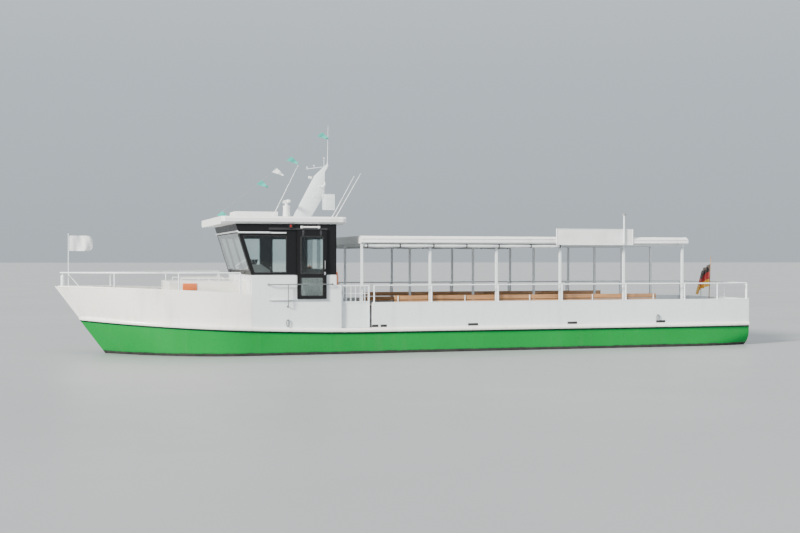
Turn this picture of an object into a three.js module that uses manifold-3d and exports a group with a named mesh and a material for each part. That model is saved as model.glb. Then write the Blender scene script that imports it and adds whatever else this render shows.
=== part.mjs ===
// A small river passenger ferry: a raked bow, a full-width wheelhouse forward and a canopied deck aft.
// Millimetres, +X forward, +Y to port, +Z up. The origin is on the waterline, amidships, on the centreline.
import * as THREE from "three";
import { mergeVertices } from "three/addons/utils/BufferGeometryUtils.js";
import Module from "manifold-3d";

const wasm = await Module();
wasm.setup();

// Driving dimensions
const HALF_BEAM = 2150;
const BOW_X = 10000;
const STERN_X = -10000;
const DRAUGHT = 900;
const DECK_Z = 700;
const FOREDECK_Z = 1000;
const BULWARK_AFT_Z = 1380;
const BULWARK_BOW_Z = 1835;
const PLATE = 60; // thickness of a bulwark or a house wall with its lining
const GAP = 0.3; // clearance between pieces that rest on each other
const SIDES = { port: 1, starboard: -1 };

// Hull form
const BILGE_RADIUS = 500;
const BOW_START_X = 5000; // the sides are parallel from here aft
const STEM_AT_WATER_X = 8650;
const STEM_RAKE = (BOW_X - STEM_AT_WATER_X) / BULWARK_BOW_Z;
const FOREFOOT_SWEEP = 900;
const STEM_HALF_WIDTH = 25;
const QUARTER_START_X = -7500;
const QUARTER_TUCK = 120;
const RUN_START_X = -6000; // the bottom rises from here to the transom
const RUN_RISE = 850;
const RUN_CURVE = 1.4;
const BOW_FRACTIONS = [0, 0.14, 0.28, 0.42, 0.55, 0.67, 0.78, 0.87, 0.94, 1];
const BOW_HEIGHTS = [0, 500, FOREDECK_Z]; // rows of the bow's side above the bilge
const AFT_STATIONS = [STERN_X, -9200, -8400, QUARTER_START_X, -6800, RUN_START_X];
const BILGE_ANGLES = [0, 0.25, 0.5, 0.75, 1].map((part) => (part * Math.PI) / 2);

// Superstructure
const HOUSE = { rear: 2700, front: 4999, floor: 1450, sill: 2130, top: 3500, lean: 420 };
const DOOR = { rear: 2980, front: 3780, bottom: 1500, top: 3330, thick: 40, stand: 8 };
const DOOR_FRAME = 50;
const SIDE_WINDOW = { rear: 4070, front: 4925, bottom: 2200, top: 3185 };
const FRONT_WINDOW = { bottom: 2280, top: 3240 };
const REAR_WINDOW = { bottom: 2300, top: 3150 };
const GLASS = 6;
const GLASS_LAP = 20;
const ROOF = { rear: 2440, front: 5800, half: 2250, thick: 200 };
const ROOF_BOX = { rear: 4000, front: 5200, half: 500, high: 190 };
const TRUNK = { rear: 5000, front: 7050, half: 1350, top: 1970 };
const GATE = { rear: 1760, front: 2540, inner: 2040, thick: 40, bottom: 720, top: 1870, panelTop: 1400 };
const GATE_POST_X = 2560;
const BULWARK_START_X = 1700;

// Canopy
const CANOPY = { front: 2000, rear: -7900, half: 2150, bottom: 3000, thick: 200 };
const POST_XS = [1950, 0, -1960, -3900, -5900, -7800];
const POST_Y = 1960;
const POST = 60;
const CURTAIN = { front: 1880, rear: -3900, y: 2065, radius: 64 };
const SIGN = { front: -3700, rear: -6100, bottom: 2970, top: 3430, thick: 20 };
const LIGHT_POLE = { x: -5800, top: 3880, radius: 25 };

// Propulsion
const SHAFT_Y = 900;
const SHAFT_Z = -640;
const SHAFT_RADIUS = 30;
const SHAFT_FRONT_X = -7300;
const PROPELLER = { x: -8800, radius: 230, hub: 48, half: 60, blades: 4, pitch: 1.05 };
const RUDDER = { x: -9250, ahead: 120, behind: 300, top: -340, bottom: -850, boss: 60, bossZ: -300 };

// Materials
function paint(color, roughness = 0.45, metalness = 0) {
  return new THREE.MeshStandardMaterial({ color, roughness, metalness });
}
const white = paint(0xf0eee8);
const green = paint(0x0acd50);
const black = paint(0x1e1c23);
const rubber = paint(0x151515, 0.9);
const glass = paint(0x9fb7c4, 0.05);
const steel = paint(0xb8bcc0, 0.35, 0.8);
const bronze = paint(0xb08d4c, 0.35, 0.9);
const grey = paint(0x8d9298, 0.7);
const orange = paint(0xf06020, 0.6);
const cloth = paint(0xe8ecf0, 0.9);
const timber = paint(0x9a6b3f, 0.6);

// Joining and cutting closed shapes
function solidOf(geometry) {
  const bare = geometry.clone();
  bare.deleteAttribute("normal");
  bare.deleteAttribute("uv");
  const merged = mergeVertices(bare, 1e-3);
  return new wasm.Manifold(
    new wasm.Mesh({
      numProp: 3,
      vertProperties: merged.attributes.position.array,
      triVerts: new Uint32Array(merged.index.array),
    }),
  );
}

function geometryOf(solid) {
  const made = solid.getMesh();
  const geometry = new THREE.BufferGeometry();
  geometry.setAttribute("position", new THREE.BufferAttribute(made.vertProperties, 3));
  geometry.setIndex(new THREE.BufferAttribute(made.triVerts, 1));
  const flat = geometry.toNonIndexed();
  flat.computeVertexNormals();
  return flat;
}

function join(...geometries) {
  return geometryOf(geometries.map(solidOf).reduce((sum, next) => sum.add(next)));
}

function cut(geometry, ...tools) {
  return geometryOf(tools.map(solidOf).reduce((left, tool) => left.subtract(tool), solidOf(geometry)));
}

// Trims a piece to what carries it, with the gap on every side, and drops the slivers that the cut leaves.
const SHIFTS = [[GAP, 0, 0], [-GAP, 0, 0], [0, GAP, 0], [0, -GAP, 0], [0, 0, GAP], [0, 0, -GAP]];

function fitAgainst(geometry, ...carriers) {
  let left = solidOf(geometry);
  for (const carrier of carriers.map(solidOf))
    for (const shift of SHIFTS) left = left.subtract(carrier.translate(shift));
  const bodies = left.decompose();
  return geometryOf(bodies.reduce((largest, body) => (body.volume() > largest.volume() ? body : largest)));
}

// Basic shapes
function box([x0, x1], [y0, y1], [z0, z1]) {
  const geometry = new THREE.BoxGeometry(x1 - x0, y1 - y0, z1 - z0);
  return geometry.translate((x0 + x1) / 2, (y0 + y1) / 2, (z0 + z1) / 2);
}

function rod(from, to, radius, sides = 8, endRadius = radius) {
  const start = new THREE.Vector3(...from);
  const along = new THREE.Vector3(...to).sub(start);
  const geometry = new THREE.CylinderGeometry(endRadius, radius, along.length(), sides);
  const turn = new THREE.Quaternion().setFromUnitVectors(
    new THREE.Vector3(0, 1, 0),
    along.clone().normalize(),
  );
  return geometry.applyQuaternion(turn).translate(...start.addScaledVector(along, 0.5).toArray());
}

// A flat outline given as [x, z] corners, thickened from y0 to y1.
function profile(corners, [y0, y1]) {
  const shape = new THREE.Shape(corners.map(([x, z]) => new THREE.Vector2(x, z)));
  const geometry = new THREE.ExtrudeGeometry(shape, { depth: y1 - y0, bevelEnabled: false });
  return geometry.rotateX(Math.PI / 2).translate(0, y1, 0);
}

// The same shape on the other side of the centreline.
function onSide(side, geometry) {
  if (side > 0) return geometry;
  const solid = solidOf(geometry);
  return geometryOf(solid.mirror([0, 1, 0]));
}

// A closed shell from port half-sections, each a list of [x, y, z] from bottom to top, and their mirror images.
function mirroredLoft(sections) {
  const positions = [];
  const triangles = [];
  const rows = sections[0].length;
  const index = (station, row, side) => (station * rows + row) * 2 + side;
  for (const section of sections)
    for (const [x, y, z] of section) {
      positions.push(x, y, z);
      positions.push(x, -y, z);
    }
  const quad = (a, b, c, d) => triangles.push(a, b, c, a, c, d);
  for (let s = 0; s + 1 < sections.length; s++) {
    for (let r = 0; r + 1 < rows; r++) {
      quad(index(s, r, 0), index(s, r + 1, 0), index(s + 1, r + 1, 0), index(s + 1, r, 0));
      quad(index(s, r, 1), index(s + 1, r, 1), index(s + 1, r + 1, 1), index(s, r + 1, 1));
    }
    quad(index(s, 0, 0), index(s + 1, 0, 0), index(s + 1, 0, 1), index(s, 0, 1));
    const top = rows - 1;
    quad(index(s, top, 0), index(s, top, 1), index(s + 1, top, 1), index(s + 1, top, 0));
  }
  const last = sections.length - 1;
  for (let r = 0; r + 1 < rows; r++) {
    quad(index(0, r, 0), index(0, r, 1), index(0, r + 1, 1), index(0, r + 1, 0));
    quad(index(last, r, 0), index(last, r + 1, 0), index(last, r + 1, 1), index(last, r, 1));
  }
  const geometry = new THREE.BufferGeometry();
  geometry.setAttribute("position", new THREE.Float32BufferAttribute(positions, 3));
  geometry.setIndex(triangles);
  return geometry.toNonIndexed();
}

// Shell plating: where the hull's skin lies
function stemX(z) {
  const sweep = z < 0 ? FOREFOOT_SWEEP * (z / DRAUGHT) ** 2 : 0;
  return STEM_AT_WATER_X + STEM_RAKE * z - sweep;
}

function fullness(z) {
  return 1.75 + 0.55 * THREE.MathUtils.clamp((z + DRAUGHT) / (DECK_Z + DRAUGHT), 0, 1);
}

function bottomZ(x) {
  return -DRAUGHT + RUN_RISE * Math.max(0, (RUN_START_X - x) / (RUN_START_X - STERN_X)) ** RUN_CURVE;
}

function aftHalfBreadth(x) {
  return HALF_BEAM - QUARTER_TUCK * Math.max(0, (QUARTER_START_X - x) / (QUARTER_START_X - STERN_X)) ** 2;
}

// A point of the bow's skin at height z, a fraction of the way from the parallel body to the stem.
function bowPoint(fraction, z, halfBreadth = HALF_BEAM, inset = 0) {
  const x = BOW_START_X + fraction * (stemX(z) - inset - BOW_START_X);
  const y = Math.max(STEM_HALF_WIDTH, halfBreadth * (1 - fraction ** fullness(z)));
  return [x, y, z];
}

// The bulwark's top edge rises in a curve from the gate to the stem.
function bulwarkTopZ(x) {
  const forward = THREE.MathUtils.clamp((x - BULWARK_START_X) / (BOW_X - BULWARK_START_X), 0, 1);
  return BULWARK_AFT_Z + (BULWARK_BOW_Z - BULWARK_AFT_Z) * (1 - (1 - forward) ** 1.6);
}

// The rub rail's centre line follows the edge between the two paints.
function rubRailZ(x) {
  const forward = THREE.MathUtils.clamp((x - 2000) / 7400, 0, 1);
  return 640 + 330 * forward ** 1.6;
}

// The bow point whose height is a function of its own x.
function bowPointAt(fraction, heightAt, halfBreadth, inset) {
  let z = heightAt(BOW_START_X + fraction * (BOW_X - BOW_START_X));
  for (let pass = 0; pass < 4; pass++) z = heightAt(bowPoint(fraction, z, halfBreadth, inset)[0]);
  return bowPoint(fraction, z, halfBreadth, inset);
}

function bilgeRows(halfBreadth, bottom) {
  return BILGE_ANGLES.map((angle) => [
    halfBreadth - BILGE_RADIUS + BILGE_RADIUS * Math.sin(angle),
    bottom + BILGE_RADIUS * (1 - Math.cos(angle)),
  ]);
}

// The hull in its two blocks, which meet under the wheelhouse's front wall
function makeHull(front) {
  const sections = [...AFT_STATIONS, 0, front].map((x) => {
    const half = aftHalfBreadth(x);
    const rows = bilgeRows(half, bottomZ(x)).map(([y, z]) => [x, y, z]);
    return [...rows, [x, half, DECK_Z]];
  });
  const bosses = Object.values(SIDES).map((side) =>
    rod([RUDDER.x, side * SHAFT_Y, RUDDER.bossZ], [RUDDER.x, side * SHAFT_Y, 0], RUDDER.boss, 16),
  );
  return join(mirroredLoft(sections), ...bosses);
}

function makeHullBow() {
  const sections = BOW_FRACTIONS.map((fraction) => [
    ...bilgeRows(HALF_BEAM, -DRAUGHT).map(([y, z]) => bowPoint(fraction, z, y)),
    ...BOW_HEIGHTS.map((z) => bowPoint(fraction, z)),
  ]);
  return mirroredLoft(sections);
}

// Hatch lids: a plate with a skirt that stands on the deck round its hatch, turning about the forward edge
const HATCHES = [
  { name: "fore_hatch", x: 7900, half: 320, deck: FOREDECK_Z },
  { name: "aft_hatch", x: -8950, half: 470, deck: DECK_Z },
];
const LID = { high: 90, wall: 30 };
const GRIP = { inboard: 80, half: 60, high: 35, radius: 8 };

function makeLid({ x, half, deck }) {
  const seat = deck + GAP;
  const top = seat + LID.high;
  const inner = half - LID.wall;
  const lid = cut(
    box([x - half, x + half], [-half, half], [seat, top]),
    box([x - inner, x + inner], [-inner, inner], [seat - 10, top - LID.wall]),
  );
  const grip = (y, z) => [x - half + GRIP.inboard, y, z];
  return join(
    lid,
    rod(grip(-GRIP.half, top - 5), grip(-GRIP.half, top + GRIP.high), GRIP.radius),
    rod(grip(GRIP.half, top - 5), grip(GRIP.half, top + GRIP.high), GRIP.radius),
    rod(grip(-GRIP.half - 8, top + GRIP.high - 5), grip(GRIP.half + 8, top + GRIP.high - 5), GRIP.radius),
  );
}

// Bow bulwark: a skin of one plate's thickness, with a breasthook closing its tip
const BREASTHOOK_THICK = 40;

function makeBowBulwark() {
  const outer = BOW_FRACTIONS.map((fraction) => [
    bowPoint(fraction, FOREDECK_Z),
    bowPointAt(fraction, bulwarkTopZ),
  ]);
  const inset = 2 * PLATE;
  const inner = BOW_FRACTIONS.map((fraction) => {
    const low = bowPoint(fraction, FOREDECK_Z - 10, HALF_BEAM - PLATE, inset);
    const high = bowPointAt(fraction, (x) => bulwarkTopZ(x) + 200, HALF_BEAM - PLATE, inset);
    return [low, high];
  });
  inner.unshift(inner[0].map(([x, y, z]) => [x - 100, y, z]));
  const shell = cut(mirroredLoft(outer), mirroredLoft(inner));
  const hookLine = BOW_FRACTIONS.filter((fraction) => fraction > 0.8).map((fraction) => {
    const [x, y, z] = bowPointAt(fraction, bulwarkTopZ);
    return [
      [x - 15, Math.max(STEM_HALF_WIDTH - 5, y - PLATE / 2), z - BREASTHOOK_THICK],
      [x - 15, Math.max(STEM_HALF_WIDTH - 5, y - PLATE / 2), z - 2],
    ];
  });
  return join(shell, mirroredLoft(hookLine));
}

// Side bulwarks of the aft deck, each with the handrail that stands on it
const HANDRAIL = { z: 1850, radius: 20, y: 2120 };

function makeSideBulwark() {
  const xs = [BULWARK_START_X, ...AFT_STATIONS.toReversed()];
  const stations = xs.map((x) => [x, aftHalfBreadth(x)]);
  const outline = new THREE.Shape([
    ...stations.map(([x, y]) => new THREE.Vector2(x, y)),
    ...stations.toReversed().map(([x, y]) => new THREE.Vector2(x, y - PLATE)),
  ]);
  const plate = new THREE.ExtrudeGeometry(outline, { depth: BULWARK_AFT_Z - DECK_Z, bevelEnabled: false });
  plate.translate(0, 0, DECK_Z);
  const inboard = HALF_BEAM - HANDRAIL.y;
  const railXs = [BULWARK_START_X - 60, ...AFT_STATIONS.toReversed().slice(0, -1), STERN_X + 60];
  const railPoint = (x, z) => [x, aftHalfBreadth(x) - inboard, z];
  const pieces = [plate];
  railXs.slice(1).forEach((x, i) => {
    pieces.push(rod(railPoint(railXs[i], HANDRAIL.z), railPoint(x, HANDRAIL.z), HANDRAIL.radius));
  });
  for (const x of [...POST_XS, BULWARK_START_X - 60, -8900, STERN_X + 60]) {
    if (x > BULWARK_START_X) continue;
    pieces.push(rod(railPoint(x, BULWARK_AFT_Z - 20), railPoint(x, HANDRAIL.z + 10), HANDRAIL.radius));
  }
  return join(...pieces);
}

function makeSternBulwark() {
  const half = aftHalfBreadth(STERN_X) - PLATE - GAP;
  const top = [-half + 60, half - 60];
  const plate = box([STERN_X, STERN_X + PLATE], [-half, half], [DECK_Z, BULWARK_AFT_Z]);
  const x = STERN_X + PLATE / 2;
  const posts = [top[0], -700, 700, top[1]].map((y) =>
    rod([x, y, BULWARK_AFT_Z - 20], [x, y, HANDRAIL.z], HANDRAIL.radius),
  );
  const rail = rod([x, top[0] - 15, HANDRAIL.z], [x, top[1] + 15, HANDRAIL.z], HANDRAIL.radius);
  return join(plate, ...posts, rail);
}

// Rub rail along each side, cut to the plating that it is fixed to, moved outboard by the gap
const RUB = { deep: 90, high: 110 };

function makeRubRail(plating) {
  const ring = (x, y, z, grow) => [
    [x, y - 40, z - RUB.high / 2],
    [x + grow, y + RUB.deep * 0.6, z - RUB.high / 2],
    [x + grow * 1.3, y + RUB.deep, z - RUB.high / 4],
    [x + grow * 1.3, y + RUB.deep, z + RUB.high / 4],
    [x + grow, y + RUB.deep * 0.6, z + RUB.high / 2],
    [x, y - 40, z + RUB.high / 2],
  ];
  const rings = [STERN_X + 30, ...AFT_STATIONS.slice(1), 0].map((x) =>
    ring(x, aftHalfBreadth(x), rubRailZ(x), 0),
  );
  for (const fraction of BOW_FRACTIONS.slice(0, -1)) {
    const [x, y, z] = bowPointAt(fraction, rubRailZ);
    rings.push(ring(x, y, z, 55 * fraction));
  }
  return cut(ringLoft(rings), plating.clone().translate(0, 1.5 * GAP, 0));
}

// A closed bar from rings of equal size, listed from its aft end to its forward end.
function ringLoft(rings) {
  const count = rings[0].length;
  const positions = rings.flat(2);
  const triangles = [];
  for (let s = 0; s + 1 < rings.length; s++)
    for (let i = 0; i < count; i++) {
      const next = (i + 1) % count;
      const [a, b, c, d] = [s * count + i, s * count + next, (s + 1) * count + next, (s + 1) * count + i];
      triangles.push(a, b, c, a, c, d);
    }
  const last = (rings.length - 1) * count;
  for (let i = 1; i + 1 < count; i++) {
    triangles.push(0, i + 1, i);
    triangles.push(last, last + i, last + i + 1);
  }
  const geometry = new THREE.BufferGeometry();
  geometry.setAttribute("position", new THREE.Float32BufferAttribute(positions, 3));
  geometry.setIndex(triangles);
  return geometry.toNonIndexed();
}

// Bow rail: a pipe round the bow on short posts, with the stem post, flagstaff and its braces
const BOW_RAIL = { z: 2200, radius: 20, inboard: 30 };
const BOW_RAIL_FRACTIONS = [0.06, 0.2, 0.38, 0.55, 0.7, 0.82, 0.9, 0.97];
const BOW_RAIL_POSTS = [0.06, 0.38, 0.7];
const STEM_POST = { x: 9790, radius: 55, foot: 1815, top: 2130 };
const BOW_STAFF = { x: 9640, radius: 14, top: 3260 };
const BOW_BRACE = { x: 9350, y: 150, top: 2160, radius: 12 };
const FOOT_SUNK = 15; // how far a post reaches into what carries it

function makeBowRail(bulwark) {
  const edge = (fraction, side, z) => {
    const [x, y, top] = bowPointAt(fraction, bulwarkTopZ);
    return [x, side * Math.max(0, y - BOW_RAIL.inboard), z ?? top - FOOT_SUNK];
  };
  const tip = [STEM_POST.x + 40, 0, BOW_RAIL.z];
  const staff = (z) => [BOW_STAFF.x, 0, z];
  const pieces = [
    rod([STEM_POST.x, 0, STEM_POST.foot], [STEM_POST.x, 0, STEM_POST.top], STEM_POST.radius, 12),
    rod([STEM_POST.x, 0, STEM_POST.top - 5], [STEM_POST.x, 0, BOW_RAIL.z], BOW_RAIL.radius),
    rod(staff(STEM_POST.foot), staff(BOW_STAFF.top), BOW_STAFF.radius),
    rod(staff(BOW_RAIL.z), tip, BOW_STAFF.radius),
  ];
  for (const side of Object.values(SIDES)) {
    const points = [...BOW_RAIL_FRACTIONS.map((fraction) => edge(fraction, side, BOW_RAIL.z)), tip];
    points.slice(1).forEach((point, i) => pieces.push(rod(points[i], point, BOW_RAIL.radius)));
    for (const fraction of BOW_RAIL_POSTS)
      pieces.push(rod(edge(fraction, side), edge(fraction, side, BOW_RAIL.z), BOW_RAIL.radius));
    pieces.push(rod(staff(BOW_BRACE.top), [BOW_BRACE.x, side * BOW_BRACE.y, STEM_POST.foot], BOW_BRACE.radius));
  }
  return fitAgainst(join(...pieces), bulwark);
}

// Deckhouse: the white lower house, open at the top, with a notch for each door and a post for each gate
function makeDeckhouse() {
  const shell = box([HOUSE.rear, HOUSE.front], [-HALF_BEAM, HALF_BEAM], [DECK_Z, HOUSE.sill]);
  const room = box(
    [HOUSE.rear + PLATE, HOUSE.front - PLATE],
    [-HALF_BEAM + PLATE, HALF_BEAM - PLATE],
    [HOUSE.floor, HOUSE.sill + 10],
  );
  const doorway = box(
    [DOOR.rear + DOOR_FRAME, DOOR.front - DOOR_FRAME],
    [-HALF_BEAM - 10, HALF_BEAM + 10],
    [DOOR.bottom + DOOR_FRAME / 2, HOUSE.sill + 10],
  );
  const posts = Object.values(SIDES).map((side) =>
    onSide(side, box([GATE_POST_X, HOUSE.rear + 5], [HALF_BEAM - PLATE, HALF_BEAM], [DECK_Z, GATE.top])),
  );
  return join(cut(shell, room, doorway), ...posts);
}

function frontLeanX(z) {
  return HOUSE.front + (HOUSE.lean * (z - HOUSE.sill)) / (HOUSE.top - HOUSE.sill);
}

function makeSideWall() {
  const outline = [
    [HOUSE.rear, HOUSE.sill],
    [HOUSE.front, HOUSE.sill],
    [frontLeanX(HOUSE.top), HOUSE.top],
    [HOUSE.rear, HOUSE.top],
  ];
  const wall = profile(outline, [HALF_BEAM - PLATE, HALF_BEAM]);
  const window = profile(sideWindowOutline(0), [HALF_BEAM - PLATE - 10, HALF_BEAM + 10]);
  const doorway = box(
    [DOOR.rear + DOOR_FRAME, DOOR.front - DOOR_FRAME],
    [HALF_BEAM - PLATE - 10, HALF_BEAM + 10],
    [HOUSE.sill - 10, DOOR.top - DOOR_FRAME],
  );
  return cut(wall, window, doorway);
}

function sideWindowOutline(lap) {
  const { rear, front, bottom, top } = SIDE_WINDOW;
  const lean = frontLeanX(top) - frontLeanX(bottom);
  return [
    [rear - lap, bottom - lap],
    [front + lap, bottom - lap],
    [front + lean + lap, top + lap],
    [rear - lap, top + lap],
  ];
}

function makeSideGlass() {
  const outer = HALF_BEAM - PLATE - GAP;
  return profile(sideWindowOutline(GLASS_LAP), [outer - GLASS, outer]);
}

// A slab that leans with the front, given by how far it lies behind the outer face.
function leaningSlab([near, far], [z0, z1], [y0, y1]) {
  const outline = [
    [frontLeanX(z0) - far, z0],
    [frontLeanX(z0) - near, z0],
    [frontLeanX(z1) - near, z1],
    [frontLeanX(z1) - far, z1],
  ];
  return profile(outline, [y0, y1]);
}

const FRONT_PANES = [
  [-2010, -730],
  [-670, 670],
  [730, 2010],
];
const REAR_PANES = [
  [-1750, -90],
  [90, 1750],
];

function makeFrontWall() {
  const inside = HALF_BEAM - PLATE - GAP;
  const wall = leaningSlab([0, PLATE], [HOUSE.sill, HOUSE.top], [-inside, inside]);
  const { bottom, top } = FRONT_WINDOW;
  const panes = FRONT_PANES.map((span) => leaningSlab([-50, PLATE + 50], [bottom, top], span));
  return cut(wall, ...panes);
}

// The front glass is bonded on the wall's outer face, the other panes on the inner faces.
function makeFrontGlass() {
  const half = FRONT_PANES[2][1] + GLASS_LAP;
  const { bottom, top } = FRONT_WINDOW;
  return leaningSlab([-GAP - GLASS, -GAP], [bottom - GLASS_LAP, top + GLASS_LAP], [-half, half]);
}

function makeRearWall() {
  const inside = HALF_BEAM - PLATE - GAP;
  const wall = box([HOUSE.rear, HOUSE.rear + PLATE], [-inside, inside], [HOUSE.sill, HOUSE.top]);
  const panes = REAR_PANES.map((span) =>
    box([HOUSE.rear - 10, HOUSE.rear + PLATE + 10], span, [REAR_WINDOW.bottom, REAR_WINDOW.top]),
  );
  return cut(wall, ...panes);
}

function makeRearGlass() {
  const front = HOUSE.rear + PLATE + GAP;
  const half = REAR_PANES[1][1] + GLASS_LAP;
  const span = [REAR_WINDOW.bottom - GLASS_LAP, REAR_WINDOW.top + GLASS_LAP];
  return box([front, front + GLASS], [-half, half], span);
}

// Roof slab with a sloped lower edge, and the raised box on it
function makeRoof() {
  const edge = 120;
  const rows = (x, inward) => [
    [x, ROOF.half - edge - inward, HOUSE.top],
    [x, ROOF.half - inward, HOUSE.top + 60],
    [x, ROOF.half - inward, HOUSE.top + 150],
    [x, ROOF.half - 60 - inward, HOUSE.top + ROOF.thick],
  ];
  const slab = mirroredLoft([rows(ROOF.rear, 50), rows(ROOF.rear + 90, 0), rows(ROOF.front - 90, 0), rows(ROOF.front, 60)]);
  const roofZ = HOUSE.top + ROOF.thick;
  const raised = box([ROOF_BOX.rear, ROOF_BOX.front], [-ROOF_BOX.half, ROOF_BOX.half], [roofZ - 20, roofZ + ROOF_BOX.high]);
  return join(slab, raised);
}

// Sliding side door with an upper and a lower light
const DOOR_LIGHTS = [
  [1580, 2070],
  [2170, 3170],
];
const DOOR_GLASS_SPAN = [1560, 3190];
const DOOR_RUNNER = { below: 40, high: 20 }; // slides along the wall under the door's top edge

function doorGlassBox(slack) {
  const inner = HALF_BEAM + DOOR.stand;
  return box(
    [DOOR.rear + 80 + slack, DOOR.front - 80 - slack],
    [inner - 1 + 1.3 * (slack > 0), inner + GLASS + 1 - slack],
    [DOOR_GLASS_SPAN[0] + slack, DOOR_GLASS_SPAN[1] - slack],
  );
}

function makeDoor() {
  const inner = HALF_BEAM + DOOR.stand;
  const panel = box([DOOR.rear, DOOR.front], [inner, inner + DOOR.thick], [DOOR.bottom, DOOR.top]);
  const lights = DOOR_LIGHTS.map((span) =>
    box([DOOR.rear + 100, DOOR.front - 100], [inner - 10, inner + DOOR.thick + 10], span),
  );
  const runner = box(
    [DOOR.rear, DOOR.front],
    [HALF_BEAM + GAP, inner + 5],
    [DOOR.top - DOOR_RUNNER.below, DOOR.top - DOOR_RUNNER.below + DOOR_RUNNER.high],
  );
  return join(cut(panel, doorGlassBox(0), ...lights), runner);
}

// Grab rail outside the door, with its standoffs clear of the door's path
const GRAB = { rear: 2800, front: 4560, z: 1890, y: 2240, radius: 15, postX: 4030, postZ: 1300 };

function makeGrabRail() {
  const wall = HALF_BEAM + GAP;
  const at = (x, z) => [x, GRAB.y, z];
  return join(
    rod(at(GRAB.rear, GRAB.z), at(GRAB.front, GRAB.z), GRAB.radius),
    rod([GRAB.rear + 15, wall, GRAB.z], at(GRAB.rear + 15, GRAB.z), GRAB.radius - 1),
    rod([GRAB.front - 15, wall, GRAB.z], at(GRAB.front - 15, GRAB.z), GRAB.radius - 1),
    rod(at(GRAB.postX, GRAB.postZ - 14), at(GRAB.postX, GRAB.z), GRAB.radius - 2),
    rod([GRAB.postX, wall, GRAB.postZ], at(GRAB.postX, GRAB.postZ), GRAB.radius - 1),
  );
}

// Inside the wheelhouse
const CONSOLE = { rear: 4300, front: 4850, half: 1000, top: 2420, low: 2250 };
const WHEEL = { x: 4200, y: 450, z: 2150, radius: 190, rim: 14, spokes: 3 };
const SEAT = { x: 3650, y: 450, z: 1950, half: 240, thick: 100, back: 600 };

function makeConsole() {
  const outline = [
    [CONSOLE.rear, HOUSE.floor],
    [CONSOLE.front, HOUSE.floor],
    [CONSOLE.front, CONSOLE.top],
    [CONSOLE.rear + 250, CONSOLE.top],
    [CONSOLE.rear, CONSOLE.low],
  ];
  return profile(outline, [-CONSOLE.half, CONSOLE.half]);
}

function makeHelmWheel() {
  const rim = new THREE.TorusGeometry(WHEEL.radius, WHEEL.rim, 6, 24).rotateY(Math.PI / 2);
  rim.translate(WHEEL.x, WHEEL.y, WHEEL.z);
  const pieces = [rim, rod([WHEEL.x - 20, WHEEL.y, WHEEL.z], [CONSOLE.rear - GAP, WHEEL.y, WHEEL.z], 24)];
  for (let i = 0; i < WHEEL.spokes; i++) {
    const angle = Math.PI / 2 + (i * 2 * Math.PI) / WHEEL.spokes;
    const end = [WHEEL.x, WHEEL.y + WHEEL.radius * Math.cos(angle), WHEEL.z + WHEEL.radius * Math.sin(angle)];
    pieces.push(rod([WHEEL.x, WHEEL.y, WHEEL.z], end, 9));
  }
  return join(...pieces);
}

function makeSeatBase() {
  return join(
    rod([SEAT.x, SEAT.y, HOUSE.floor], [SEAT.x, SEAT.y, HOUSE.floor + 30], 200, 16),
    rod([SEAT.x, SEAT.y, HOUSE.floor], [SEAT.x, SEAT.y, SEAT.z - GAP], 45, 12),
  );
}

function makeSeat() {
  const { x, y, z, half, thick, back } = SEAT;
  return join(
    box([x - half, x + half], [y - half, y + half], [z, z + thick]),
    box([x - half, x - half + 90], [y - half + 20, y + half - 20], [z + thick - 10, z + thick + back]),
  );
}

// Canopy: a roof slab on three rows of posts, with a curtain rolled up under each edge
function makeCanopyRoof() {
  const rows = (x, inward) => [
    [x, CANOPY.half - 30 - inward, CANOPY.bottom],
    [x, CANOPY.half - inward, CANOPY.bottom + 30],
    [x, CANOPY.half - inward, CANOPY.bottom + 130],
    [x, CANOPY.half - 120 - inward, CANOPY.bottom + CANOPY.thick],
  ];
  return mirroredLoft([rows(CANOPY.rear, 0), rows(CANOPY.front, 0)]);
}

function makeCanopyFrame(y) {
  const [inner, outer] = [y - POST / 2, y + POST / 2];
  const beam = box([CANOPY.rear + 40, CANOPY.front - 20], [inner, outer], [CANOPY.bottom - POST, CANOPY.bottom - GAP]);
  const posts = POST_XS.map((x) =>
    box([x - POST / 2, x + POST / 2], [inner, outer], [DECK_Z + GAP, CANOPY.bottom - POST + 5]),
  );
  return join(beam, ...posts);
}

// The port frame also carries the lamp pole, which stands above the roof's edge on an arm.
const POLE_Y = 2200;

function makeLightPole() {
  const foot = CANOPY.bottom + 40;
  return join(
    rod([LIGHT_POLE.x, CANOPY.half + SIGN.thick + 2 * GAP, foot], [LIGHT_POLE.x, POLE_Y, foot], 20),
    rod([LIGHT_POLE.x, POLE_Y, foot - 25], [LIGHT_POLE.x, POLE_Y, LIGHT_POLE.top], LIGHT_POLE.radius),
    rod([LIGHT_POLE.x, POLE_Y, LIGHT_POLE.top - 60], [LIGHT_POLE.x, POLE_Y, LIGHT_POLE.top], 60, 12),
  );
}

function makeCurtain() {
  const z = CANOPY.bottom - CURTAIN.radius - GAP;
  return rod([CURTAIN.rear, CURTAIN.y, z], [CURTAIN.front, CURTAIN.y, z], CURTAIN.radius, 12);
}

function makeSign() {
  const inner = CANOPY.half + GAP;
  return box([SIGN.rear, SIGN.front], [inner, inner + SIGN.thick], [SIGN.bottom, SIGN.top]);
}

// Bench along the posts: slatted seat and back on plate legs
const BENCH = { rear: -7000, front: 1000, inner: 1450, outer: 1850, seat: 1150, back: 1880, backTop: 1560 };
const BENCH_LEG_XS = [-6900, -4950, -3000, -1050, 900];

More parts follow.
